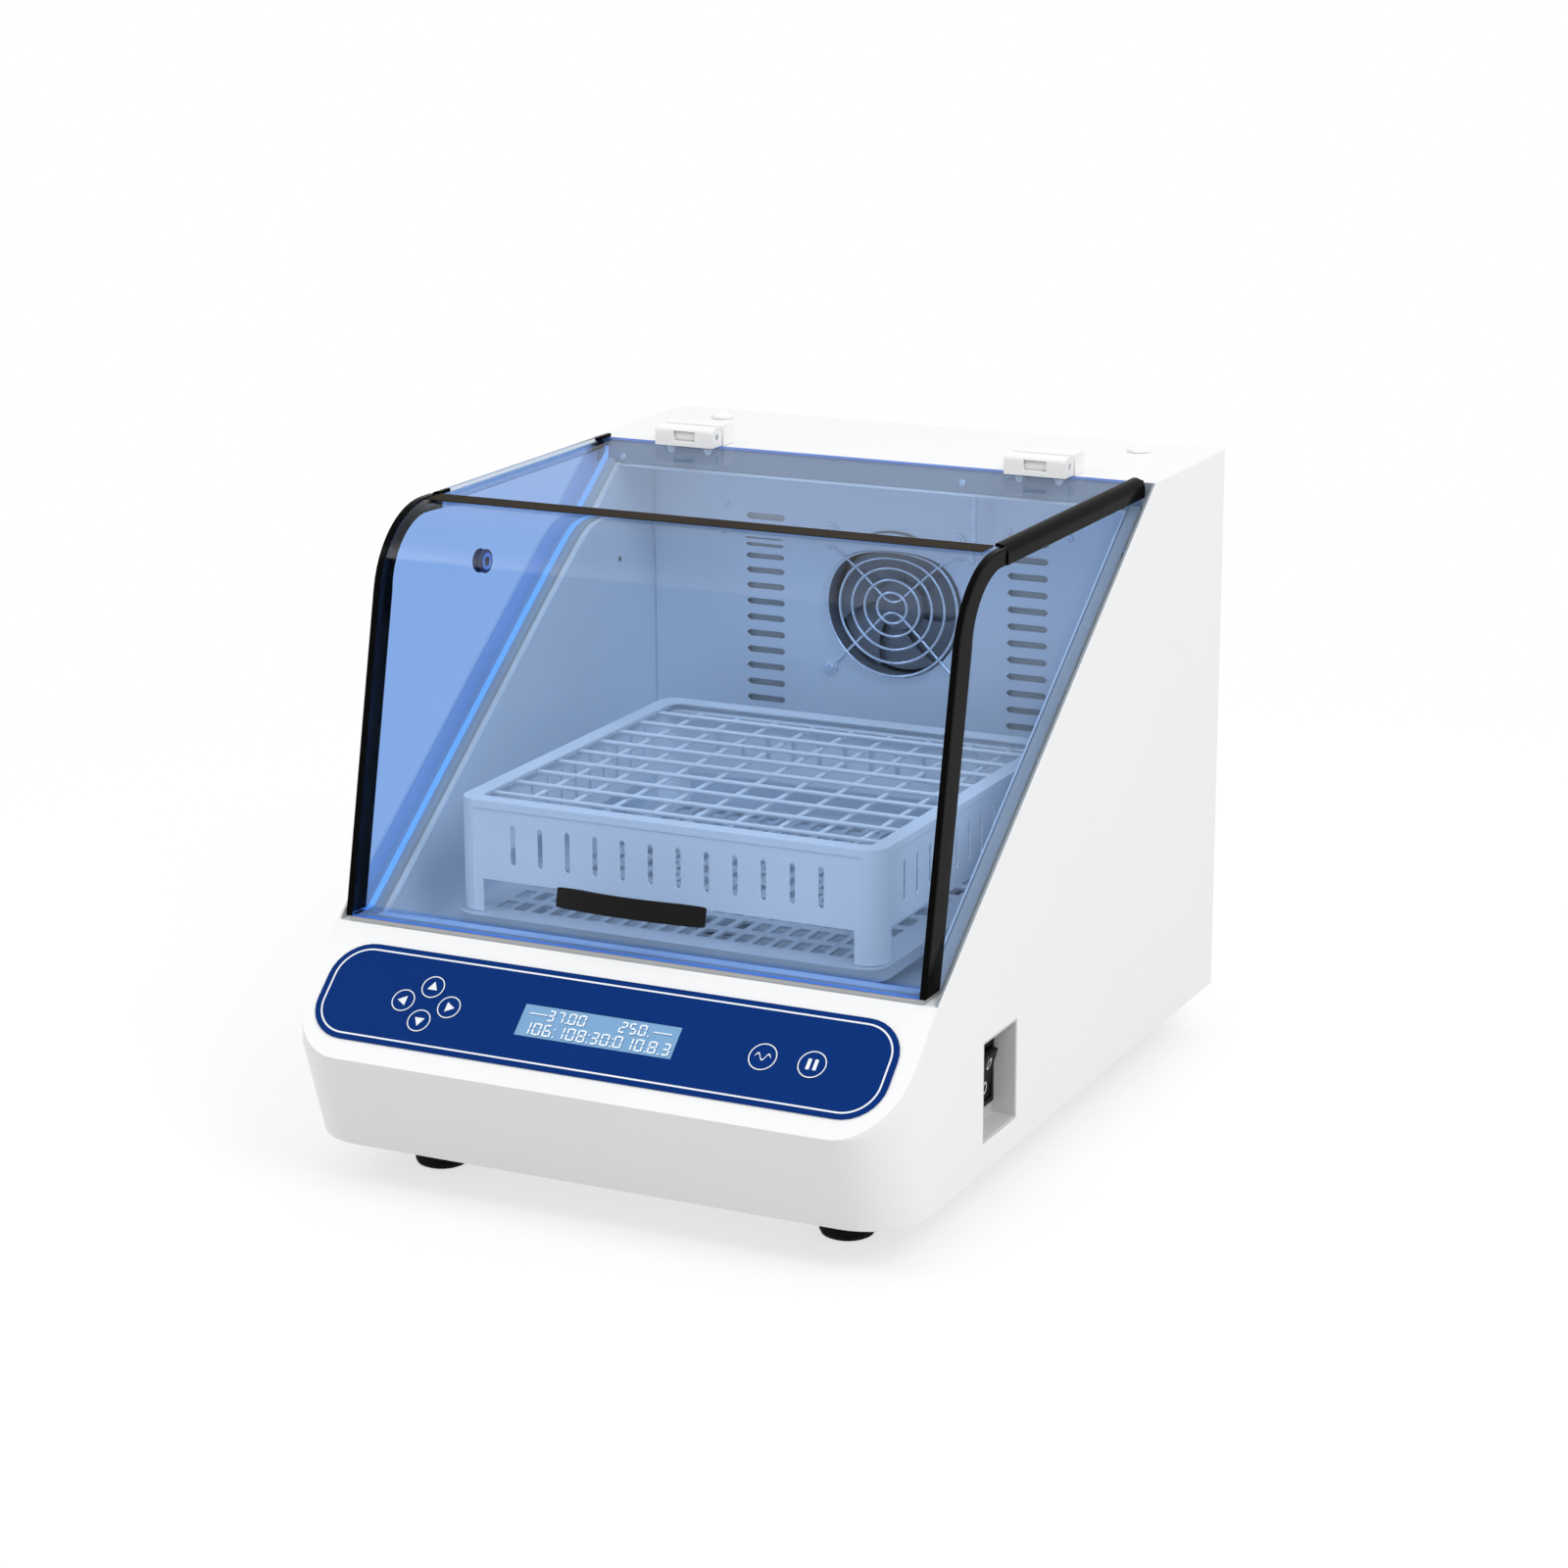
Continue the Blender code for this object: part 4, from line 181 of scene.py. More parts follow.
def surface(name, colour, roughness, metallic=0.0, specular=0.5, coat=0.0, variation=0.03, cloud=9.0,
            spread=0.05, grain=900.0, relief=0.15, depth=0.00004, stretch=(1, 1, 1), glow=None, glow_strength=0.0):
    """A finish with cloudy tone, uneven gloss and fine relief, which may also glow."""
    tree = Tree(bpy.data.materials.new(name))
    shader = tree.shader
    shader.inputs["Metallic"].default_value = metallic
    shader.inputs["Specular IOR Level"].default_value = specular
    shader.inputs["Coat Weight"].default_value = coat
    shader.inputs["Coat Roughness"].default_value = 0.08
    cloudy = tree.noise(cloud, 5.0)
    tone = tree.tones(cloudy, shade(colour, 1 - variation), shade(colour, 1 + variation))
    tree.link(tone, shader.inputs["Base Color"])
    fine = tree.noise(grain, 3.0, stretch)
    gloss = tree.span(fine, max(0.02, roughness - spread), roughness + spread)
    tree.link(gloss, shader.inputs["Roughness"])
    tree.bump(fine, relief, depth)
    if glow:
        shader.inputs["Emission Color"].default_value = (*glow, 1)
        shader.inputs["Emission Strength"].default_value = glow_strength
    return tree.owner


# Low, because each sheet is a single thin solid: the view through it isn't pushed aside
ACRYLIC_IOR = 1.07


def acrylic(name, tint, lamp_tint, smooth=0.002, rough=0.006, coat=0.0):
    """Tinted acrylic that lets lamps and bounced light through without bending them."""
    tree = Tree(bpy.data.materials.new(name))
    shader = tree.shader
    shader.inputs["Transmission Weight"].default_value = 1.0
    shader.inputs["IOR"].default_value = ACRYLIC_IOR
    shader.inputs["Specular IOR Level"].default_value = 0.5
    shader.inputs["Coat Weight"].default_value = coat
    shader.inputs["Coat Roughness"].default_value = 0.3
    haze = tree.noise(14.0, 3.0)
    tree.link(tree.tones(haze, shade(tint, 0.985), shade(tint, 1.015)), shader.inputs["Base Color"])
    tree.link(tree.span(haze, smooth, rough), shader.inputs["Roughness"])
    clear = tree.add("ShaderNodeBsdfTransparent")
    clear.inputs["Color"].default_value = (*lamp_tint, 1)
    tree.mixed(tree.any_of("Is Shadow Ray", "Is Diffuse Ray"), "BSDF", clear.outputs["BSDF"])
    return tree.owner


ENAMEL = surface("white_enamel", linear(238, 239, 240), 0.34, coat=0.2, variation=0.012, grain=650, relief=0.1,
                 depth=0.00003)
BRUSHED = surface("brushed_stainless", linear(234, 238, 242), 0.4, metallic=0.4, variation=0.04, cloud=6,
                  spread=0.08, grain=14, relief=0.1, depth=0.00003, stretch=(1, 1, 90))
SATIN = surface("satin_stainless", linear(218, 221, 225), 0.38, metallic=0.4, variation=0.05, cloud=14,
                spread=0.08, grain=240, relief=0.1, depth=0.00003)
PLATED = surface("zinc_plate", linear(188, 192, 196), 0.42, metallic=0.9, variation=0.08, cloud=22, spread=0.1,
                 grain=160, relief=0.1)
CHROME = surface("bright_wire", linear(236, 239, 243), 0.24, metallic=0.6, variation=0.03, cloud=80, spread=0.05,
                 grain=900, relief=0.05)
RACK = surface("rack_powder_coat", linear(242, 245, 249), 0.42, coat=0.12, variation=0.02, grain=1300, relief=0.2,
               depth=0.00005)
BLACK_GLOSS = surface("black_gloss_trim", linear(9, 9, 9), 0.14, specular=0.02, variation=0.2, cloud=40,
                      spread=0.04, grain=240, relief=0.03)
BLACK_MATT = surface("black_matt_strip", linear(58, 53, 48), 0.5, specular=0.0, variation=0.15, cloud=40,
                     grain=900, relief=0.15)
BLACK_GRAIN = surface("black_moulded", linear(20, 20, 21), 0.42, specular=0.12, variation=0.15, cloud=60,
                      grain=2400, relief=0.3, depth=0.00004)
RUBBER = surface("rubber", linear(14, 14, 14), 0.7, specular=0.1, variation=0.2, cloud=70, grain=1800, relief=0.35,
                 depth=0.00006)
SEAL = surface("grey_seal", linear(176, 178, 180), 0.62, variation=0.05, cloud=60, grain=1500, relief=0.3)
PLASTIC = surface("white_moulded", linear(238, 238, 238), 0.36, variation=0.015, cloud=50, grain=2200, relief=0.15,
                  depth=0.00003)
NAVY = surface("navy_label", linear(8, 48, 116), 0.5, specular=0.03, variation=0.04, cloud=30, grain=1600,
               relief=0.1, depth=0.00002)
INK_WHITE = surface("printed_white", linear(232, 236, 242), 0.45, specular=0.1, variation=0.03, cloud=120,
                    grain=2600, relief=0.1)
SCREEN = surface("screen", linear(122, 165, 205), 0.3, specular=0.1, variation=0.05, cloud=40, grain=2600,
                 relief=0.02)
SCREEN_INK = surface("screen_ink", linear(232, 242, 252), 0.4, specular=0.1, variation=0.04, cloud=120, grain=2600,
                     relief=0.02)
# Painted shadow of the screen's figures
SCREEN_PAINTED_SHADOW = surface("screen_painted_shadow", linear(70, 108, 158), 0.4, specular=0.1, variation=0.08, cloud=90,
                       grain=2600, relief=0.02)
BOARD = surface("circuit_board", linear(22, 92, 48), 0.45, variation=0.2, cloud=120, grain=700, relief=0.2)
CAST = surface("cast_metal", linear(150, 152, 155), 0.5, metallic=0.85, variation=0.08, cloud=70, grain=500,
               relief=0.35, depth=0.00008)
STEEL = surface("machined_steel", linear(168, 170, 174), 0.28, metallic=1.0, variation=0.06, cloud=40, spread=0.08,
                grain=600, relief=0.12)
TINT = (0.485, 0.64, 0.895)
LAMP_TINT = (0.98, 0.98, 0.975)
ACRYLIC = acrylic("blue_acrylic", TINT, LAMP_TINT)
ACRYLIC_SHEEN = acrylic("blue_acrylic_bend", TINT, LAMP_TINT, coat=0.6)
ACRYLIC_FOOT = acrylic("blue_acrylic_foot", (0.27, 0.46, 0.9), LAMP_TINT)
SMOKE = acrylic("smoke_acrylic", (0.62, 0.7, 0.8), (0.9, 0.93, 0.96), 0.01, 0.02)
# Painted light on the acrylic's cut edges: a bright blue with a glow, and a deeper blue without one, stand in for the
# light that the edges catch
PAINTED_EDGE_LIGHT = surface("acrylic_painted_edge_light", (0.36, 0.68, 1.0), 0.3, specular=0.2, variation=0.05, cloud=30, grain=300,
               relief=0.05, glow=(0.12, 0.38, 1.0), glow_strength=0.35)
PAINTED_EDGE_LIGHT_DEEP = surface("acrylic_painted_edge_light_deep", linear(98, 148, 236), 0.3, specular=0.2, variation=0.05, cloud=30,
                    grain=300, relief=0.05)
PORT_BLUE = surface("port_moulded", linear(44, 60, 92), 0.4, specular=0.3, variation=0.1, cloud=60, grain=1500,
                    relief=0.2)
# Grey for the duct plates, and painted shade for the recess of the switch housing
GREY_AND_RECESS_SHADE = surface("grey_and_recess_painted_shade", linear(198, 198, 198), 0.42, specular=0.3, variation=0.03, cloud=50, grain=2200,
               relief=0.15, depth=0.00003)
# Grey for the casing's header, and painted shade on the right flange of the lid's seat
HEADER_AND_SHADE_GREY = surface("header_grey_and_flange_painted_shade", linear(150, 160, 170), 0.45, metallic=0.2, variation=0.05, cloud=10, grain=240,
                      relief=0.1, depth=0.00003)
FAN_GREY = surface("fan_moulded", linear(138, 141, 146), 0.5, specular=0.25, variation=0.08, cloud=50, grain=1900,
                   relief=0.25, depth=0.00004)

FINISHES = {
    ENAMEL: ("outer_casing", "rear_cover"),
    BRUSHED: ("chamber_liner", "chamber_rear_wall"),
    PLATED: ("base_pan", "power_supply"),
    CHROME: ("fan_guard", "temperature_probe"),
    RACK: ("rack_body", "rack_wires_x", "rack_wires_y"),
    SATIN: ("shaking_platform",),
    ACRYLIC: ("lid_front_sheet", "lid_top_sheet", "lid_side_left", "lid_side_right"),
    BLACK_GLOSS: ("lid_top_trim_left", "lid_top_trim_right", "lid_front_trim_left", "lid_front_trim_right"),
    BLACK_MATT: ("lid_seam_strip",),
    BLACK_GRAIN: ("lid_handle", "mains_inlet", "switch_frame", "power_rocker"),
    PORT_BLUE: ("probe_port_grommet",),
    # The switch housing is grey as painted shade in its recess
    GREY_AND_RECESS_SHADE: ("switch_housing",),
    FAN_GREY: ("fan_frame", "fan_impeller"),
    RUBBER: ("foot_front_left", "foot_front_right", "foot_rear_left", "foot_rear_right", "belt"),
    SEAL: ("lid_seal",),
    PLASTIC: ("hinge_base_left", "hinge_base_right", "hinge_leaf_left", "hinge_leaf_right", "top_plug_left",
              "top_plug_right"),
    NAVY: ("control_overlay", "key_up", "key_left", "key_right", "key_down", "key_run", "key_stop"),
    SCREEN: ("display_module",),
    BOARD: ("control_board",),
    CAST: ("drive_deck", "motor"),
    STEEL: ("main_crank", "idler_crank_left", "idler_crank_right", "motor_pulley", "hinge_pin_left",
            "hinge_pin_right", "lid_switch_pin", "heater_coil"),
}
for finish, names in FINISHES.items():
    for name in names:
        NODES[name].data.materials.clear()
        NODES[name].data.materials.append(finish)
        NODES[name].data.shade_smooth()
        NODES[name].data.set_sharp_from_angle(angle=radians(30))

BODY_OF = {}
for body, members in frame["record"]["behaviour"]["bodies"].items():
    for member in members:
        BODY_OF[member] = body


# Piece helpers
def piece(name, mesh, finish, body):
    """A new object on a body."""
    made = bpy.data.objects.new(name, mesh)
    bpy.context.scene.collection.objects.link(made)
    if finish:
        mesh.materials.clear()
        mesh.materials.append(finish)
    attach(made, body)
    return made


def smoothed(mesh, angle=30):
    """A mesh shaded smooth, with the edges over an angle kept sharp."""
    mesh.shade_smooth()
    mesh.set_sharp_from_angle(angle=radians(angle))
    return mesh


def as_mesh(name, shape, finishes=()):
    """A mesh of a shape as it stands, with the shape itself freed."""
    mesh = bpy.data.meshes.new(name)
    for finish in finishes:
        mesh.materials.append(finish)
    shape.to_mesh(mesh)
    shape.free()
    return mesh


def to_mesh(name, shape, angle=30):
    """A shaded mesh of a shape with its faces turned outward."""
    bmesh.ops.recalc_face_normals(shape, faces=shape.faces)
    return smoothed(as_mesh(name, shape), angle)


def linked(name, data):
    """A new object in the scene, on no body."""
    made = bpy.data.objects.new(name, data)
    bpy.context.scene.collection.objects.link(made)
    return made


def applied(source):
    """The mesh that an object's modifiers make, with the object itself removed."""
    mesh = bpy.data.meshes.new_from_object(source.evaluated_get(bpy.context.evaluated_depsgraph_get()))
    bpy.data.objects.remove(source)
    return mesh


def gathered(name, meshes):
    """One mesh of several."""
    shape = bmesh.new()
    for mesh in meshes:
        shape.from_mesh(mesh)
    return to_mesh(name, shape, 40)


def rejoined(node):
    """A node's mesh with its doubled corners and split flats joined again."""
    shape = bmesh.new()
    shape.from_mesh(NODES[node].data)
    bmesh.ops.remove_doubles(shape, verts=shape.verts, dist=SAME)
    bmesh.ops.dissolve_limit(shape, angle_limit=radians(1), verts=shape.verts, edges=shape.edges)
    return shape


def finish_faces(shape, chosen):
    """Gives each face the slot that a rule finds from its middle and normal."""
    bmesh.ops.recalc_face_normals(shape, faces=shape.faces)
    for face in shape.faces:
        face.material_index = int(chosen(face.calc_center_median(), face.normal))


def edged(source, width, segments):
    """An object's mesh with its sharp edges rounded and its flats kept flat."""
    source.data.shade_smooth()
    bevel = source.modifiers.new("edges", "BEVEL")
    bevel.width = width
    bevel.segments = segments
    bevel.limit_method = "ANGLE"
    bevel.angle_limit = radians(40)
    weighted = source.modifiers.new("flats", "WEIGHTED_NORMAL")
    weighted.weight = 100
    weighted.keep_sharp = True
    return applied(source)


def cut_out(source, cutter, own=False):
    """A boolean cut, to be made when the source is applied."""
    cut = source.modifiers.new("cut", "BOOLEAN")
    cut.operation = "DIFFERENCE"
    cut.object = cutter
    cut.solver = "EXACT"
    cut.use_self = own


def refine(node, width, segments=2, second=None, chosen=None, cutter=None):
    """A copy of a CAD node with flats rejoined and edges rounded, shown in its place."""
    shape = rejoined(node)
    finishes = [NODES[node].data.materials[0]]
    if second:
        finishes.append(second)
        finish_faces(shape, chosen)
    source = linked(node + "_fine", as_mesh(node + "_fine", shape, finishes))
    if cutter:
        cut_out(source, cutter)
    made = edged(source, width, segments)
    if cutter:
        bpy.data.objects.remove(cutter)
    shown = piece("fine_" + node, made, None, BODY_OF[node])
    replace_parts(shown, node)


def local_frame(origin, across, up):
    """A frame with two of its axes given and the third square to both."""
    outward = Vector(across).cross(Vector(up))
    return Matrix.Translation(origin) @ Matrix((across, up, outward)).transposed().to_4x4()


def place(x, depth, height):
    """A spot from its depth in front of the rear plane and its height over the casing's bottom edge."""
    return Vector((x, REAR_Y - depth, FOOT_HEIGHT + height))


def facing(spot, outward):
    """A frame at a spot, with its third axis outward."""
    return Matrix.Translation(spot) @ Vector(outward).to_track_quat("Z", "Y").to_matrix().to_4x4()


def plate(name, outlines, thickness, base):
    """A plate from flat outlines in a frame, centred on its plane; an outline inside another is a hole."""
    curve = bpy.data.curves.new(name, "CURVE")
    curve.dimensions = "2D"
    curve.fill_mode = "BOTH"
    curve.extrude = thickness / 2
    for outline in outlines:
        spline = curve.splines.new("POLY")
        spline.points.add(len(outline) - 1)
        spline.use_cyclic_u = True
        for point, (across, up) in zip(spline.points, outline):
            point.co = (across, up, 0, 1)
    mesh = applied(linked(name, curve))
    mesh.transform(base)
    return smoothed(mesh)


def plates(name, outlines, thickness, base, finish, body):
    """A plate as a piece of its own."""
    piece(name, plate(name, outlines, thickness, base), finish, body)


def tube(name, points, radius, closed=False):
    """A round wire along points."""
    curve = bpy.data.curves.new(name, "CURVE")
    curve.dimensions = "3D"
    curve.bevel_depth = radius
    curve.bevel_resolution = WIRE_SIDES
    curve.use_fill_caps = True
    spline = curve.splines.new("POLY")
    spline.points.add(len(points) - 1)
    spline.use_cyclic_u = closed
    for target, point in zip(spline.points, points):
        target.co = (*point, 1)
    return smoothed(applied(linked(name, curve)), 60)


def turned(name, profile, base, steps=48, closed=False):
    """A solid of revolution from points of radius and height about a frame's third axis."""
    shape = bmesh.new()
    points = [shape.verts.new((radius, 0, height)) for radius, height in profile]
    ends = zip(points, points[1:] + points[:1]) if closed else zip(points, points[1:])
    edges = [shape.edges.new(pair) for pair in ends]
    bmesh.ops.spin(shape, geom=points + edges, cent=(0, 0, 0), axis=(0, 0, 1), angle=2 * pi, steps=steps)
    bmesh.ops.remove_doubles(shape, verts=shape.verts, dist=SAME / 2)
    mesh = to_mesh(name, shape)
    mesh.transform(base)
    return mesh


def circle(radius, steps, across=0.0, up=0.0):
    """A circle's outline about a middle."""
    turns = [2 * pi * step / steps for step in range(steps)]
    return [(across + radius * cos(turn), up + radius * sin(turn)) for turn in turns]


def rounded(width, height, radius, steps, across=0.0, up=0.0):
    """A rectangle's outline with round corners, about a middle."""
    outline = []
    for side, end, start in ((1, 1, 0), (-1, 1, pi / 2), (-1, -1, pi), (1, -1, 3 * pi / 2)):
        for step in range(steps + 1):
            turn = start + pi / 2 * step / steps
            outline.append((across + side * (width / 2 - radius) + radius * cos(turn),
                            up + end * (height / 2 - radius) + radius * sin(turn)))
    return outline


def shifted(outline, across, up):
    """An outline moved in its plane."""
    return [(u + across, v + up) for u, v in outline]


def spread(count, pitch):
    """Even places about a middle."""
    return [(index - (count - 1) / 2) * pitch for index in range(count)]


def top_of(node, direction):
    """Middle of a node's face that lies furthest along a direction."""
    points = [vertex.co for vertex in NODES[node].data.vertices]
    reach = max(point.dot(direction) for point in points)
    face = [point for point in points if point.dot(direction) > reach - SAME]
    return Vector([(min(along) + max(along)) / 2 for along in zip(*face)])


def on_node(node, start, direction):
    """Where a line from a point first meets a node."""
    mesh = NODES[node].data
    tree = BVHTree.FromPolygons([vertex.co for vertex in mesh.vertices], [face.vertices for face in mesh.polygons])
    return tree.ray_cast(Vector(start), Vector(direction))[0]


def screw(name, spot, outward, radius, body):
    """A low domed head with a cross recess."""
    rise = radius * 0.55
    profile = [(0, 0), (radius, 0), (radius, rise * 0.35), (radius * 0.86, rise * 0.72), (radius * 0.55, rise * 0.95),
               (radius * 0.2, rise), (0, rise)]
    head = linked(name + "_head", turned(name + "_head", profile, Matrix(), 24))
    bars = bmesh.new()
    for turn in (0, pi / 2):
        bmesh.ops.create_cube(
            bars, size=1.0, matrix=Matrix.Rotation(turn, 4, "Z") @ Matrix.Translation((0, 0, rise))
            @ Matrix.Diagonal((radius * 1.15, radius * 0.26, rise * 0.9, 1)),
        )
    cross = linked(name + "_cross", to_mesh(name + "_cross", bars))
    cut_out(head, cross, True)
    mesh = applied(head)
    bpy.data.objects.remove(cross)
    mesh.transform(facing(spot, outward))
    piece(name, mesh, CHROME, body)


# Control panel print
OVERLAY_LIFT = 0.00046
PANEL_UP = (0, cos(PANEL_SLOPE), sin(PANEL_SLOPE))
PANEL_OUT = Vector((0, -sin(PANEL_SLOPE), cos(PANEL_SLOPE)))


def panel_at(node):
    """A frame on a node's outer face, along the panel."""
    return local_frame(top_of(node, PANEL_OUT) + PANEL_OUT * INK, (1, 0, 0), PANEL_UP)


overlay_low, overlay_high = (Vector(corner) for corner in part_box("control_overlay"))
OVERLAY_WIDTH = overlay_high.x - overlay_low.x
OVERLAY_TALL = (overlay_high.z - overlay_low.z) / sin(PANEL_SLOPE)
OVERLAY_FACE = local_frame((overlay_low + overlay_high) / 2 + PANEL_OUT * OVERLAY_LIFT, (1, 0, 0), PANEL_UP)
border = [rounded(OVERLAY_WIDTH - 2 * inset, OVERLAY_TALL - 2 * inset, LINE_CORNER + LINE_INSET - inset, 12)
          for inset in (LINE_INSET, LINE_INSET + LINE_WIDTH)]
plates("panel_border", border, INK, OVERLAY_FACE, INK_WHITE, "root")


def ring(radius):
    """The two outlines of a printed ring."""
    return [circle(radius, 48), circle(radius - RING_LINE, 48)]


def triangle(turn):
    """An arrow's outline, pointing along a turn."""
    turns = [turn + third for third in (0, 2 * pi / 3, 4 * pi / 3)]
    return [(ARROW_SIZE * cos(turn), ARROW_SIZE * sin(turn)) for turn in turns]


for key, turn in (("key_up", pi / 2), ("key_left", pi), ("key_right", 0), ("key_down", -pi / 2)):
    plates(key + "_mark", ring(ARROW_RING) + [triangle(turn)], INK, panel_at(key), INK_WHITE, key)
WAVE_STEPS, WAVE_LONG, WAVE_RISE, WAVE_LINE = 24, 0.0116, 0.0024, 0.0012
wave = []
for side in (1, -1):
    row = [(WAVE_LONG * (step / WAVE_STEPS - 0.5), WAVE_RISE * sin(3 * pi * step / WAVE_STEPS) + side * WAVE_LINE / 2)
           for step in range(WAVE_STEPS + 1)]
    wave += row[::side]
plates("key_run_mark", ring(ROUND_RING) + [wave], INK, panel_at("key_run"), INK_WHITE, "key_run")
BAR_WIDE, BAR_TALL, BAR_CORNER, BAR_APART = 0.0026, 0.0082, 0.0004, 0.005
bars = [rounded(BAR_WIDE, BAR_TALL, BAR_CORNER, 2, side * BAR_APART / 2) for side in (-1, 1)]
plates("key_stop_mark", ring(ROUND_RING) + bars, INK, panel_at("key_stop"), INK_WHITE, "key_stop")

# Seven-segment figures on the screen
SEGMENTS = {
    "0": "abcdef", "1": "bc", "2": "abged", "3": "abgcd", "4": "fgbc", "5": "afgcd", "6": "afgedc", "7": "abc",
    "8": "abcdefg", "9": "abcdfg", "-": "g",
}


def figure(sign, tall, across, up, line=FIGURE_LINE):
    """Outlines of one figure's lit segments, or of the dots of a point or a colon."""
    half, wide = tall / 2, tall * FIGURE_HALF
    if sign in ".:":
        levels = [up - half + line / 2] + ([up + half * COLON_RISE] if sign == ":" else [])
        return [rounded(line, line, line / 4, 1, across - wide, level) for level in levels]
    flat = (2 * wide - line * 1.15, line)
    tower = (line, half - line * 0.62)
    spots = {
        "a": (flat, 0, half - line / 2), "g": (flat, 0, 0), "d": (flat, 0, line / 2 - half),
        "f": (tower, -wide, half / 2), "b": (tower, wide, half / 2),
        "e": (tower, -wide, -half / 2), "c": (tower, wide, -half / 2),
    }
    return [shifted(rounded(*spots[part][0], line / 5, 1), across + spots[part][1], up + spots[part][2])
            for part in SEGMENTS[sign]]


def figures(text, tall, start, up):
    """Outlines of a row of figures from where it starts."""
    outlines = []
    across = start
    for sign in text:
        outlines += figure(sign, tall, across, up)
        across += tall * (POINT_STEP if sign in ".:" else FIGURE_STEP)
    return outlines


SCREEN_FACE = panel_at("display_module")
# A darker copy of the figures, shifted right and down and set just behind them, is their painted shadow
PAINTED_SHADOW_SHIFT = 0.0006
PAINTED_SHADOW_FACE = SCREEN_FACE @ Matrix.Translation((PAINTED_SHADOW_SHIFT, -PAINTED_SHADOW_SHIFT, -INK / 2))
ROW_UP = 0.0058
TEXT_ROWS = (("37.00", 0.0088, -0.038, ROW_UP), ("250.", 0.0088, 0.0175, ROW_UP),
             ("106:108:30:010.8.3", 0.0096, -0.0525, -ROW_UP))
DASH_LONG, DASH_WIDE, DASH_CORNER, DASH_ACROSS = 0.014, 0.0009, 0.0002, 0.0475
screen_print = [outline for row in TEXT_ROWS for outline in figures(*row)]
screen_print += [rounded(DASH_LONG, DASH_WIDE, DASH_CORNER, 1, side * DASH_ACROSS, ROW_UP) for side in (-1, 1)]
plates("screen_figures", screen_print, INK, SCREEN_FACE, SCREEN_INK, "root")
plates("screen_painted_shadows", screen_print, INK, PAINTED_SHADOW_FACE, SCREEN_PAINTED_SHADOW, "root")

# Round marks on the rocker's two faces
ROCKER_MIDDLE = sum((Vector(corner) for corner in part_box("power_rocker")), Vector()) / 2
PADDLE_FACING, OVAL_SHARE, OVAL_SIZES = 0.8, 0.72, (0.0046, 0.0033)
paddles = [face for face in NODES["power_rocker"].data.polygons if face.normal.x > PADDLE_FACING]
for name, above in (("upper", 1), ("lower", -1)):
    faces = [face for face in paddles if (face.center.z - ROCKER_MIDDLE.z) * above > 0]
    area = sum(face.area for face in faces)
    spot = sum((face.center * face.area for face in faces), Vector()) / area
    outward = sum((face.normal * face.area for face in faces), Vector()).normalized()
    up = outward.cross(Vector((0, 1, 0))).normalized()
    up = up if up.z > 0 else -up
    mark_frame = local_frame(spot + outward * INK, up.cross(outward), up)
    oval = [[(across * OVAL_SHARE, rise) for across, rise in circle(size, 32)] for size in OVAL_SIZES]
    plates(f"rocker_mark_{name}", oval, INK, mark_frame, INK_WHITE, "rocker")

# Rounded edges on what is seen closest
for node, width, segments in (
    ("lid_top_trim_right", 0.0009, 3), ("lid_front_trim_left", 0.001, 3), ("lid_front_trim_right", 0.001, 3),
    ("lid_handle", 0.001, 3), ("hinge_leaf_left", 0.0006, 2), ("hinge_leaf_right", 0.0006, 2),
    ("switch_housing", 0.0004, 2), ("switch_frame", 0.0005, 2), ("power_rocker", 0.0006, 2),
    ("lid_seam_strip", 0.0004, 2), ("mains_inlet", 0.0004, 2), ("rear_cover", 0.0003, 1),
    ("temperature_probe", 0.0004, 2),
):
    refine(node, width, segments)

# Hinge bases with their oval dimples
DIMPLE_WIDE, DIMPLE_LONG, DIMPLE_DEEP = 0.0085, 0.0046, 0.0008
DIMPLE_ASIDE, DIMPLE_FORWARD = 0.018, 0.1385
for name, x in (("left", -HINGE_X), ("right", HINGE_X)):
    spot = place(x - DIMPLE_ASIDE, DIMPLE_FORWARD, 0)
    spot.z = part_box(f"hinge_base_{name}")[1][2]
    oval = [rounded(DIMPLE_WIDE, DIMPLE_LONG, DIMPLE_LONG / 2 - 0.0001, 6)]
    dimple = linked("dimple", plate("dimple", oval, 2 * DIMPLE_DEEP, Matrix.Translation(spot)))
    refine(f"hinge_base_{name}", 0.0008, 3, cutter=dimple)

# Casing, whose header under the lid is grey, and whose right flange of the lid's seat is greyed as painted shade
HEADER_FROM, FLANGE_FROM, FLANGE_SIDE = 0.4, 0.2, 0.2
FACING, FLUSH = 0.9, 0.995
OPENING_OUT = Vector((0, -0.2813, 0.3877)).normalized()


def is_header_or_shaded_flange(spot, normal):
    """Whether a face of the casing is the header's front, or the right flange of the lid's seat, whose grey is
    painted shade.
    """
    header = normal.y < -FACING and spot.z > HEADER_FROM and spot.y > 0
    return header or (normal.dot(OPENING_OUT) > FLUSH and spot.z > FLANGE_FROM and spot.x > FLANGE_SIDE)


refine("outer_casing", 0.0009, 2, HEADER_AND_SHADE_GREY, is_header_or_shaded_flange)


def split(shape, spot, normal):
    """A cut through a shape that only parts its faces."""
    parts = shape.verts[:] + shape.edges[:] + shape.faces[:]
    bmesh.ops.bisect_plane(shape, geom=parts, plane_co=spot, plane_no=normal)


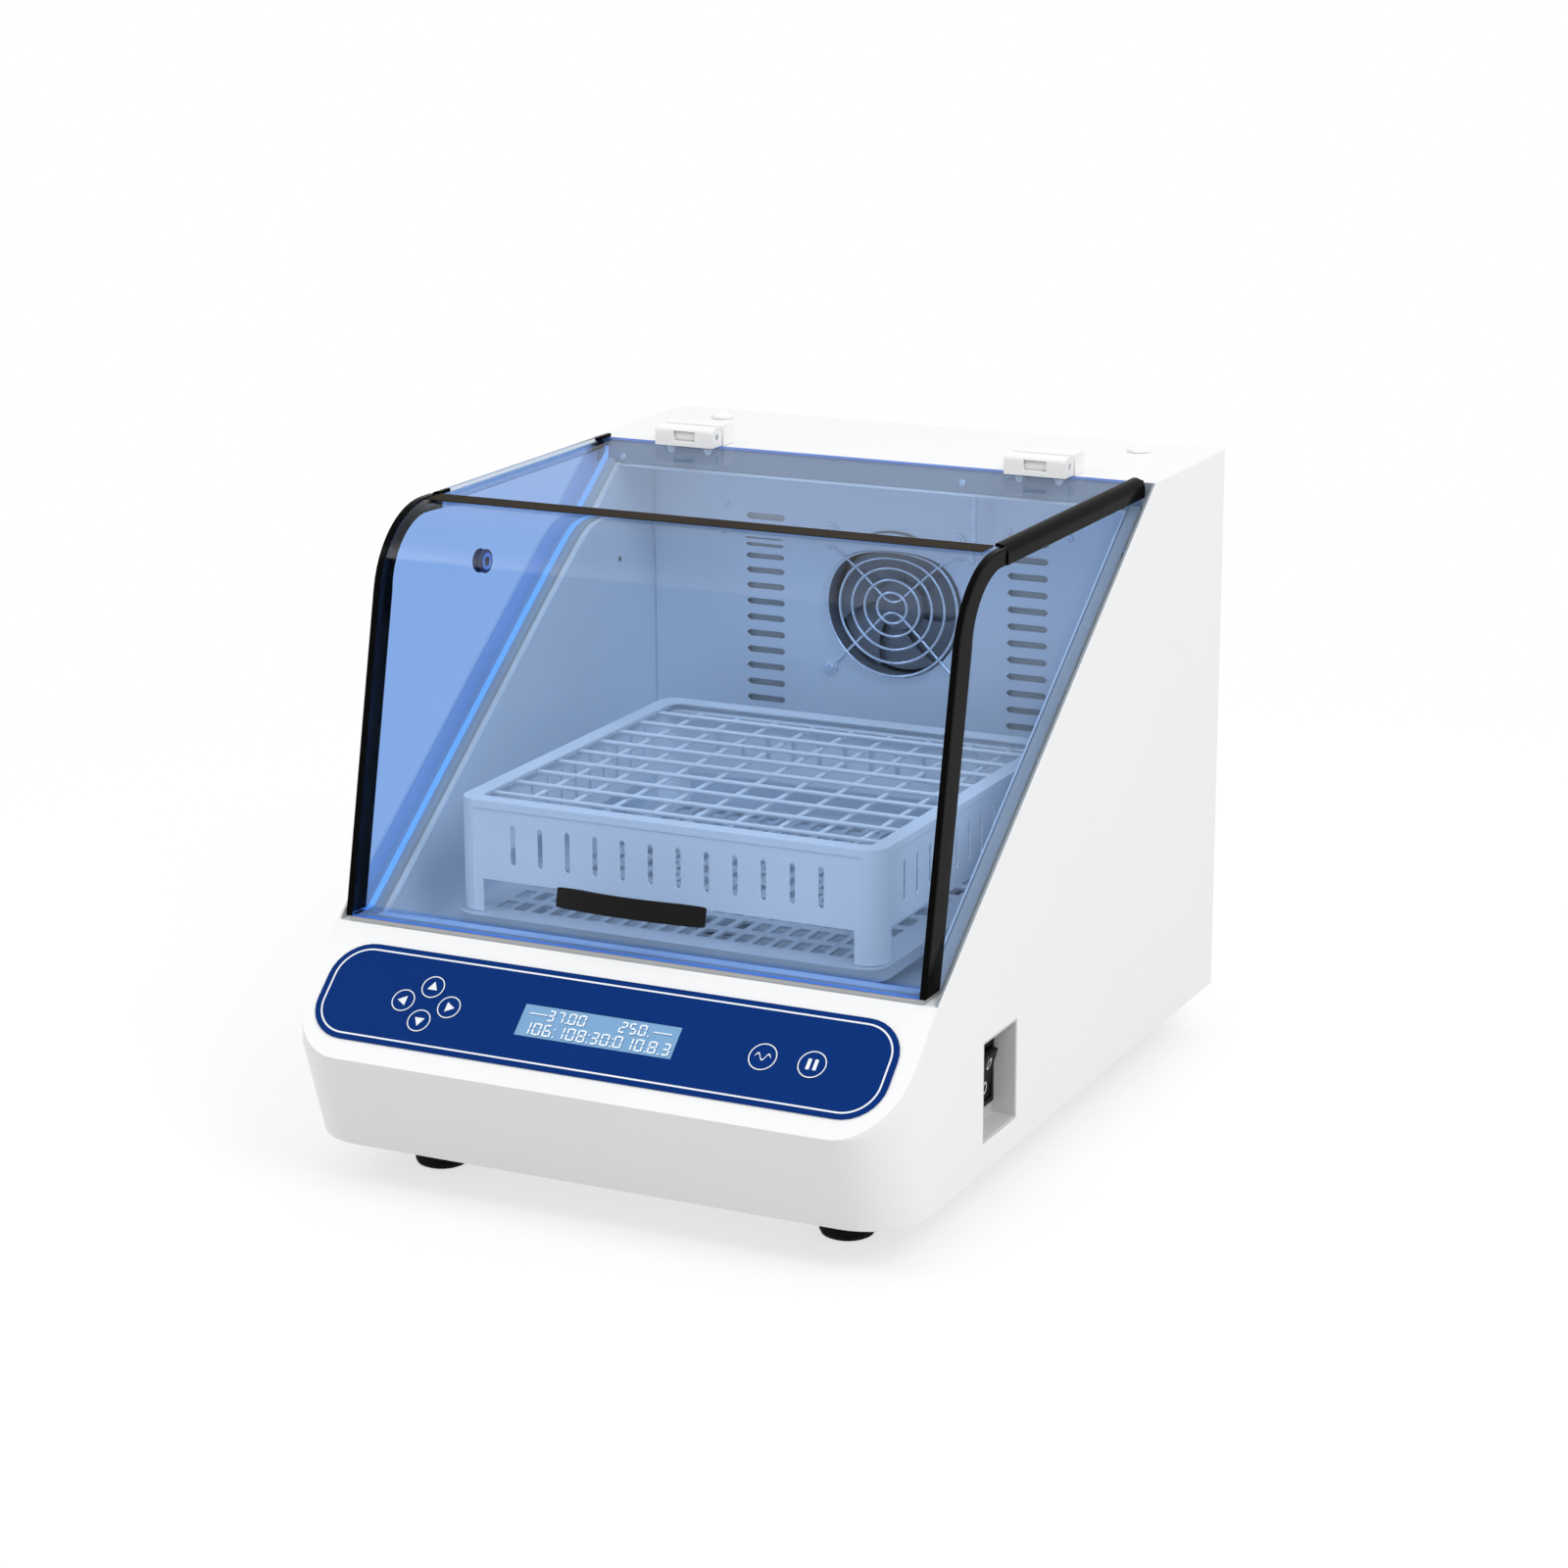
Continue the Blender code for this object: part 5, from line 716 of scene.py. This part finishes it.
# Lips of the front trims, folded over the front sheet
LIP_FROM, LIP_LOW, LIP_HIGH, LIP_NEAR = 0.2182, 0.0002, 0.001, 0.0005
for name, side in (("left", -1), ("right", 1)):
    trim = NODES[f"lid_front_trim_{name}"].data
    low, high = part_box(f"lid_front_trim_{name}")
    points = [(round(vertex.co.y, 5), round(vertex.co.z, 5)) for vertex in trim.vertices]
    hull = {points[index] for index in convex_hull_2d(points)}
    chain = sorted((y, z) for y, z in hull if (y < low[1] + LIP_NEAR or z > low[2] + LIP_NEAR)
                   and (y < high[1] - LIP_NEAR or z > high[2] - LIP_NEAR))
    rims = [[], []]
    for before, point, after in zip(chain[:1] + chain, chain, chain[1:] + chain[-1:]):
        along = Vector(after) - Vector(before)
        out = Vector((-along.y, along.x)).normalized()
        for rim, lift in zip(rims, (LIP_LOW, LIP_HIGH)):
            rim.append((point[0] + out.x * lift, point[1] + out.y * lift))
    reach = max(abs(low[0]), abs(high[0]))
    base = local_frame(Vector((side * (LIP_FROM + reach) / 2, 0, 0)), (0, 1, 0), (0, 0, 1))
    plates(f"front_lip_{name}", [rims[0] + rims[1][::-1]], reach - LIP_FROM, base, BLACK_GLOSS, "lid")

# Left top trim, clear between its black ends
TRIM_REAR_END, TRIM_FRONT_END = 0.016, 0.014
trim_low, trim_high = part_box("lid_top_trim_left")
clear_from, clear_to = trim_low[1] + TRIM_FRONT_END, trim_high[1] - TRIM_REAR_END
shape = rejoined("lid_top_trim_left")
for y in (clear_from, clear_to):
    split(shape, (0, y, 0), (0, 1, 0))
for face in shape.faces:
    face.material_index = int(clear_from < face.calc_center_median().y < clear_to)
source = linked("trim", as_mesh("trim", shape, (BLACK_GLOSS, SMOKE)))
trim = piece("fine_lid_top_trim_left", edged(source, 0.0006, 2), None, "lid")
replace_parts(trim, "lid_top_trim_left")

# Lid sheets, with painted light on their edges and the sheen of the bend
EDGE_BAND, FOOT_EDGE, FOOT_BAND = 0.007, 0.002, 0.008
TURNED = 0.5


def sheet(node, finishes, chosen, cut=None):
    """A lid sheet with its finishes chosen by face, cut first where a finish ends inside a face."""
    shape = rejoined(node)
    if cut:
        split(shape, *cut)
    finish_faces(shape, chosen)
    mesh = as_mesh(node + "_fine", shape, finishes)
    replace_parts(piece("fine_" + node, smoothed(mesh), None, "lid"), node)


left_points = [vertex.co for vertex in NODES["lid_side_left"].data.vertices]
left_foot = min(left_points, key=lambda spot: spot.dot(OPENING_OUT))
band_spot = left_foot + OPENING_OUT * EDGE_BAND
front_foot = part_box("lid_front_sheet")[0][2]


def left_finish(spot, normal):
    """The left sheet's band along its foot, given a painted glow, except on the outside."""
    return (spot - band_spot).dot(OPENING_OUT) < 0 and normal.x > -TURNED


def front_finish(spot, normal):
    """The front sheet's foot in painted edge light, the band over it, the bend or the rest."""
    if spot.z < front_foot + FOOT_EDGE:
        return 2
    if spot.z < front_foot + FOOT_BAND:
        return 3
    return normal.z > TURNED


# Painted light: a glowing band along the left sheet's foot, and bright edge colour on the front sheet's foot and the
# top sheet's rear edge
sheet("lid_side_left", (ACRYLIC, PAINTED_EDGE_LIGHT), left_finish, (band_spot, OPENING_OUT))
sheet("lid_side_right", (ACRYLIC,), lambda spot, normal: 0)
sheet("lid_front_sheet", (ACRYLIC, ACRYLIC_SHEEN, PAINTED_EDGE_LIGHT_DEEP, ACRYLIC_FOOT), front_finish,
      ((0, 0, front_foot + FOOT_BAND), (0, 0, 1)))
sheet("lid_top_sheet", (ACRYLIC, PAINTED_EDGE_LIGHT_DEEP), lambda spot, normal: normal.y > TURNED)

# Rack with its panels set back between round corner posts
RACK_CORNER, RACK_LEDGE, RACK_STEP, BAR_THICK = 0.014, 0.006, 0.0008, 0.01
rack_low, rack_high = (Vector(corner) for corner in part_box("rack_body"))
RACK_MIDDLE = (rack_low + rack_high) / 2
rack_size = rack_high - rack_low
rack = linked("rack_source", as_mesh("rack_source", rejoined("rack_body")))
bars = bmesh.new()
for axis in (0, 1):
    for side in (-1, 1):
        stretch = [0, 0, rack_size.z - RACK_LEDGE + BAR_THICK]
        stretch[axis] = BAR_THICK
        stretch[1 - axis] = rack_size[1 - axis] - 2 * RACK_CORNER
        spot = RACK_MIDDLE.copy()
        spot[axis] += side * (rack_size[axis] / 2 - RACK_STEP + BAR_THICK / 2)
        spot.z = rack_high.z - RACK_LEDGE - stretch[2] / 2
        bmesh.ops.create_cube(bars, size=1.0, matrix=Matrix.Translation(spot) @ Matrix.Diagonal((*stretch, 1)))
steps = linked("rack_steps", to_mesh("rack_steps", bars))
cut_out(rack, steps)
made = edged(rack, 0.0003, 2)
bpy.data.objects.remove(steps)
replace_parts(piece("fine_rack_body", made, RACK, "platform"), "rack_body")

# Wire ladders of round wire
for node, axis, pitch in (("rack_wires_x", 0, WIRE_PITCH_Y), ("rack_wires_y", 1, WIRE_PITCH_X)):
    low, high = (Vector(corner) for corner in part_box(node))
    middle = (low + high) / 2
    reach = (high[axis] - low[axis]) / 2 - RAIL_RADIUS
    reach_over = (high[1 - axis] - low[1 - axis]) / 2
    meshes = []
    for place_over in spread(WIRE_COUNT, pitch):
        ends = [middle.copy(), middle.copy()]
        for end, side in zip(ends, (-1, 1)):
            end[axis] += side * reach
            end[1 - axis] += place_over
        meshes.append(tube(node, ends, WIRE_RADIUS))
    for side in (-1, 1):
        ends = [middle.copy(), middle.copy()]
        for end, turn in zip(ends, (-1, 1)):
            end[axis] += side * reach
            end[1 - axis] += turn * reach_over
        meshes.append(tube(node, ends, RAIL_RADIUS))
    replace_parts(piece("fine_" + node, gathered("fine_" + node, meshes), RACK, "platform"), node)

# Perforated tray with all its slots, its skirt and its bosses
tray_low, tray_high = (Vector(corner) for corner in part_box("shaking_platform"))
tray_middle = (tray_low + tray_high) / 2
tray_size = tray_high - tray_low
tray_top = Vector((tray_middle.x, tray_middle.y, tray_high.z))
flat = Matrix.Translation(tray_top)
slots = [rounded(TRAY_SLOT_WIDTH, TRAY_SLOT_LENGTH, TRAY_SLOT_CORNER, 2, x, y)
         for x in spread(TRAY_COLUMNS, TRAY_PITCH_X) for y in spread(TRAY_ROWS, TRAY_PITCH_Y)]
outside = rounded(tray_size.x, tray_size.y, TRAY_CORNER, 10)
inside = rounded(tray_size.x - 2 * TRAY_SHEET, tray_size.y - 2 * TRAY_SHEET, TRAY_CORNER - TRAY_SHEET, 10)
skirt_drop = TRAY_SKIRT - TRAY_SHEET
tray = [
    plate("tray_top", [outside] + slots, TRAY_SHEET, flat @ Matrix.Translation((0, 0, -TRAY_SHEET / 2))),
    plate("tray_skirt", [outside, inside], skirt_drop,
          flat @ Matrix.Translation((0, 0, -TRAY_SHEET - skirt_drop / 2))),
]
BOSS_RADIUS, BOSS_BORE, PIN_TOP = 0.01, 0.0043, 0.0001
for crank in ("main_crank", "idler_crank_left", "idler_crank_right"):
    low, high = (Vector(corner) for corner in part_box(crank))
    pins = [vertex.co for vertex in NODES[crank].data.vertices if vertex.co.z > high.z - PIN_TOP]
    pin = sum(pins, Vector()) / len(pins)
    boss = [circle(BOSS_RADIUS, 40), circle(BOSS_BORE, 32)]
    rise = tray_high.z - TRAY_SHEET - tray_low.z
    tray.append(plate("tray_boss", boss, rise, Matrix.Translation((pin.x, pin.y, tray_low.z + rise / 2))))
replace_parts(piece("fine_platform", gathered("fine_platform", tray), SATIN, "platform"), "shaking_platform")

# Fan guard of round wire, with its eyelets
guard_high = Vector(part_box("fan_guard")[1])
guard_low = Vector(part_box("fan_guard")[0])
ring_y = guard_low.y + GUARD_WIRE
wall_y = guard_high.y
FAN_Z = FOOT_HEIGHT + FAN_HEIGHT
KNEE_STEPS, BAR_BACK = 10, 0.0014
guard = []
for index in range(GUARD_RINGS):
    outline = circle(GUARD_FIRST_RING + index * GUARD_RING_STEP, 40 + 10 * index, 0, FAN_Z)
    guard.append(tube("guard_ring", [(x, ring_y, z) for x, z in outline], GUARD_WIRE, True))
knee_turns = [radians(225 + 90 * step / KNEE_STEPS) for step in range(KNEE_STEPS + 1)]
knee_round = GUARD_KNEE * sqrt(2)
knee = [(knee_round * cos(turn), 2 * GUARD_KNEE + knee_round * sin(turn)) for turn in knee_turns]
bar_points = [(-GUARD_BAR_END, GUARD_BAR_END)] + knee + [(GUARD_BAR_END, GUARD_BAR_END)]
for end in (-1, 1):
    points = [(x, wall_y - BAR_BACK, FAN_Z + end * z) for x, z in bar_points]
    guard.append(tube("guard_bar", points, GUARD_WIRE))
    for side in (-1, 1):
        spot = (side * EYELET, wall_y, FAN_Z + end * EYELET)
        edge = EYELET_THICKNESS / 3
        profile = [(EYELET_HOLE, edge), (EYELET_HOLE + edge, 0), (EYELET_RADIUS - edge, 0), (EYELET_RADIUS, edge),
                   (EYELET_RADIUS, EYELET_THICKNESS - edge), (EYELET_RADIUS - edge, EYELET_THICKNESS),
                   (EYELET_HOLE + edge, EYELET_THICKNESS), (EYELET_HOLE, EYELET_THICKNESS - edge)]
        guard.append(turned("guard_eyelet", profile, facing(spot, (0, -1, 0)), 32, closed=True))
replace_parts(piece("fine_fan_guard", gathered("fine_fan_guard", guard), CHROME, "root"), "fan_guard")
for name, side in (("left", -1), ("right", 1)):
    for level, end in (("low", -1), ("high", 1)):
        spot = (side * EYELET, wall_y - EYELET_THICKNESS, FAN_Z + end * EYELET)
        screw(f"guard_screw_{level}_{name}", spot, (0, -1, 0), GUARD_SCREW, "root")

# Impeller with wide swept blades
HUB_RADIUS, TIP_RADIUS, BLADES, BLADE_SPAN, SWEEP = 0.0205, 0.053, 7, radians(74), 0.4
BLADE_INTO_HUB, BLADE_SHORT, BLADE_THICK = 0.001, 0.0005, 0.0012
BLADE_START, BLADE_PITCH, BLADE_CAMBER = 0.16, 0.62, 0.06
HUB_ROUND, HUB_ROUND_MIDDLE = 0.003, 0.0009
fan_low, fan_high = (Vector(corner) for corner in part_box("fan_impeller"))
fan_frame = facing(((fan_low.x + fan_high.x) / 2, fan_high.y, (fan_low.z + fan_high.z) / 2), (0, -1, 0))
fan_deep = fan_high.y - fan_low.y
blades = bmesh.new()
REACH_STEPS, CHORD_STEPS = 6, 8
for index in range(BLADES):
    rows = []
    for out in range(REACH_STEPS + 1):
        share = out / REACH_STEPS
        radius = HUB_RADIUS - BLADE_INTO_HUB + (TIP_RADIUS - HUB_RADIUS + BLADE_SHORT) * share
        row = []
        for step in range(CHORD_STEPS + 1):
            chord = step / CHORD_STEPS
            turn = 2 * pi * index / BLADES + BLADE_SPAN * chord + SWEEP * share
            level = BLADE_START + BLADE_PITCH * chord + BLADE_CAMBER * sin(pi * chord)
            row.append(blades.verts.new((radius * cos(turn), radius * sin(turn), fan_deep * level)))
        rows.append(row)
    for near, far in zip(rows, rows[1:]):
        for step in range(CHORD_STEPS):
            blades.faces.new((near[step], far[step], far[step + 1], near[step + 1]))
bmesh.ops.recalc_face_normals(blades, faces=blades.faces)
bmesh.ops.solidify(blades, geom=blades.faces[:], thickness=BLADE_THICK)
blade_mesh = to_mesh("blades", blades)
blade_mesh.transform(fan_frame)
hub_profile = [(0, 0), (HUB_RADIUS, 0), (HUB_RADIUS, fan_deep - HUB_ROUND),
               (HUB_RADIUS - HUB_ROUND_MIDDLE, fan_deep - HUB_ROUND_MIDDLE), (HUB_RADIUS - HUB_ROUND, fan_deep),
               (0, fan_deep)]
impeller = gathered("fine_fan_impeller", [blade_mesh, turned("hub", hub_profile, fan_frame)])
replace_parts(piece("fine_fan_impeller", impeller, FAN_GREY, "fan"), "fan_impeller")

# Duct plates behind the air slots
DUCT_WIDE, DUCT_TALL, DUCT_CORNER, DUCT_SHEET, DUCT_BACK = 0.044, 0.166, 0.003, 0.001, 0.003
DUCT_X, DUCT_HEIGHT = 0.10925, 0.287
for name, side in (("left", -1), ("right", 1)):
    spot = place(side * DUCT_X, 0, DUCT_HEIGHT)
    spot.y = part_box("chamber_rear_wall")[1][1] + DUCT_BACK
    outline = rounded(DUCT_WIDE, DUCT_TALL, DUCT_CORNER, 4)
    plates(f"duct_plate_{name}", [outline], DUCT_SHEET, facing(spot, (0, -1, 0)), GREY_AND_RECESS_SHADE, "root")

# Port fitting in the left side sheet
port_low, port_high = (Vector(corner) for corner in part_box("probe_port_grommet"))
port = (port_low + port_high) / 2
PORT_HALF = (port_high.x - port_low.x) / 2
SHEET_HALF, PORT_RING, PORT_BORE = 0.0023, 0.0064, 0.0038
outer_half = [(0.003, PORT_HALF - 0.0006), (0.0036, PORT_HALF), (0.0078, PORT_HALF), (0.0087, PORT_HALF - 0.0004),
              (0.009, PORT_HALF - 0.0011), (0.009, SHEET_HALF), (0.0065, SHEET_HALF)]
port_profile = outer_half + [(radius, -height) for radius, height in reversed(outer_half)]
port_mesh = turned("fine_probe_port_grommet", port_profile, facing(port, (1, 0, 0)), 48, closed=True)
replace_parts(piece("fine_probe_port_grommet", port_mesh, PORT_BLUE, "lid"), "probe_port_grommet")
# Bright rings round the bore on both faces are a painted highlight
for name, side in (("outer", -1), ("inner", 1)):
    spot = port + Vector((side * (PORT_HALF + INK), 0, 0))
    face = facing(spot, (side, 0, 0))
    plates(f"port_painted_highlight_ring_{name}", [circle(PORT_RING, 40), circle(PORT_BORE, 40)], INK, face, PAINTED_EDGE_LIGHT_DEEP, "lid")

# Screws of the chamber, its header and the rear cover
WALL_LOOK, HEADER_LOOK = 0.2, 0.3
for name, x, height in (("left", -0.143, 0.3655), ("right", 0.143, 0.3655), ("middle", 0.0945, 0.3645)):
    spot = on_node("chamber_rear_wall", place(x, WALL_LOOK, height), (0, 1, 0))
    screw(f"wall_screw_{name}", spot, (0, -1, 0), WALL_SCREW, "root")
for name, x, height in (("left", -0.2051, 0.4077), ("right", 0.079, 0.4099)):
    spot = on_node("outer_casing", place(x, HEADER_LOOK, height), (0, 1, 0))
    screw(f"header_screw_{name}", spot, (0, -1, 0), HEADER_SCREW, "root")
cover_low, cover_high = (Vector(corner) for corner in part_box("rear_cover"))
COVER_INSET = 0.009
for row, z in (("low", cover_low.z + COVER_INSET), ("middle", (cover_low.z + cover_high.z) / 2),
               ("high", cover_high.z - COVER_INSET)):
    for name, x in (("left", cover_low.x + COVER_INSET), ("right", cover_high.x - COVER_INSET)):
        screw(f"cover_screw_{row}_{name}", Vector((x, cover_high.y, z)), (0, 1, 0), COVER_SCREW, "root")

# Cap nuts under the hinge leaves
NUT_SPREAD, NUT_DEPTH = 0.0155, 0.157
sheet_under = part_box("lid_top_sheet")[0][2]
NUT = [(0, 0), (0.0032, 0), (0.0032, 0.0022), (0.0026, 0.0024), (0.0024, 0.0036), (0.0016, 0.0046), (0, 0.005)]
for name, x in (("left", -HINGE_X), ("right", HINGE_X)):
    nuts = []
    for side in (-1, 1):
        spot = place(x + side * NUT_SPREAD, NUT_DEPTH, 0)
        spot.z = sheet_under
        nuts.append(turned("nut", NUT, facing(spot, (0, 0, -1)), 24))
    piece(f"hinge_nuts_{name}", gathered("hinge_nuts", nuts), PLASTIC, "lid")

# Camera
view = bpy.data.cameras.new("camera")
view.lens = CAMERA_LENS
view.sensor_width = CAMERA_SENSOR
view.clip_end = 50
camera = linked("camera", view)
camera.matrix_world = (
    Matrix.Translation(CAMERA_PLACE) @ Matrix.Rotation(CAMERA_YAW, 4, "Z")
    @ Matrix.Rotation(pi / 2 - CAMERA_PITCH, 4, "X") @ Matrix.Rotation(CAMERA_ROLL, 4, "Z")
)
bpy.context.scene.camera = camera

# Floor: paper that keeps the object's shadow near it and turns white further out for whoever looks at it
FLOOR_HALF, SHADOW_REACH, WHITE_FROM, NEAR_WHITE = 12, 0.45, 1.5, 0.68
shape = bmesh.new()
bmesh.ops.create_grid(shape, x_segments=1, y_segments=1, size=FLOOR_HALF)
floor_mesh = as_mesh("floor", shape)
floor = linked("floor", floor_mesh)
paper = Tree(bpy.data.materials.new("floor_paper"))
seen = paper.any_of("Is Camera Ray", "Is Glossy Ray", "Is Transmission Ray")
mottle = paper.noise(3.0)
lit = paper.tones(mottle, (0.94, 0.94, 0.94), (0.96, 0.96, 0.96))
dim = paper.tones(mottle, (0.61, 0.61, 0.61), (0.63, 0.63, 0.63))
colour = paper.add("ShaderNodeMix", data_type="RGBA")
paper.link(seen, colour.inputs["Factor"])
paper.link(dim, colour.inputs["A"])
paper.link(lit, colour.inputs["B"])
paper.link(colour.outputs["Result"], paper.shader.inputs["Base Color"])
paper.shader.inputs["Roughness"].default_value = 0.9
paper.shader.inputs["Specular IOR Level"].default_value = 0.0
length = paper.add("ShaderNodeVectorMath", operation="LENGTH")
paper.link(paper.place(), length.inputs[0])
far = paper.add("ShaderNodeMapRange", interpolation_type="SMOOTHSTEP")
far.inputs["From Min"].default_value = SHADOW_REACH
far.inputs["From Max"].default_value = WHITE_FROM
far.inputs["To Min"].default_value = NEAR_WHITE
paper.link(length.outputs["Value"], far.inputs["Value"])
share = paper.add("ShaderNodeMath", operation="MULTIPLY")
paper.link(seen, share.inputs[0])
paper.link(far.outputs["Result"], share.inputs[1])
white = paper.add("ShaderNodeEmission")
paper.mixed(share.outputs[0], "BSDF", white.outputs["Emission"])
floor_mesh.materials.append(paper.owner)

# World and lamps
SKY_LIGHT = 0.78
world = bpy.data.worlds.new("studio")
bpy.context.scene.world = world
sky = Tree(world, "Background", "World Output")
shown = sky.add("ShaderNodeBackground")
for background, strength in ((sky.shader, SKY_LIGHT), (shown, 1.0)):
    background.inputs["Color"].default_value = (1, 1, 1, 1)
    background.inputs["Strength"].default_value = strength
sky.mixed(sky.any_of("Is Camera Ray", "Is Transmission Ray"), "Background", shown.outputs["Background"])


def lamp(name, spot, target, size, power):
    """A square lamp at a spot, aimed at a target."""
    light = bpy.data.lights.new(name, "AREA")
    light.shape = "SQUARE"
    light.size = size
    light.energy = power
    made = linked(name, light)
    made.location = spot
    made.rotation_euler = (Vector(target) - Vector(spot)).to_track_quat("-Z", "Y").to_euler()


lamp("key", (-2.2, -1.6, 2.6), (0, 0, 0.25), 0.9, 15.5)
lamp("fill", (2.4, -1.2, 2.96), (0, 0, 0.25), 1.8, 55)
lamp("back", (0.3, 1.7, 2.7), (0, 0, 0.3), 1.2, 10)
bpy.context.scene.view_settings.view_transform = "Standard"
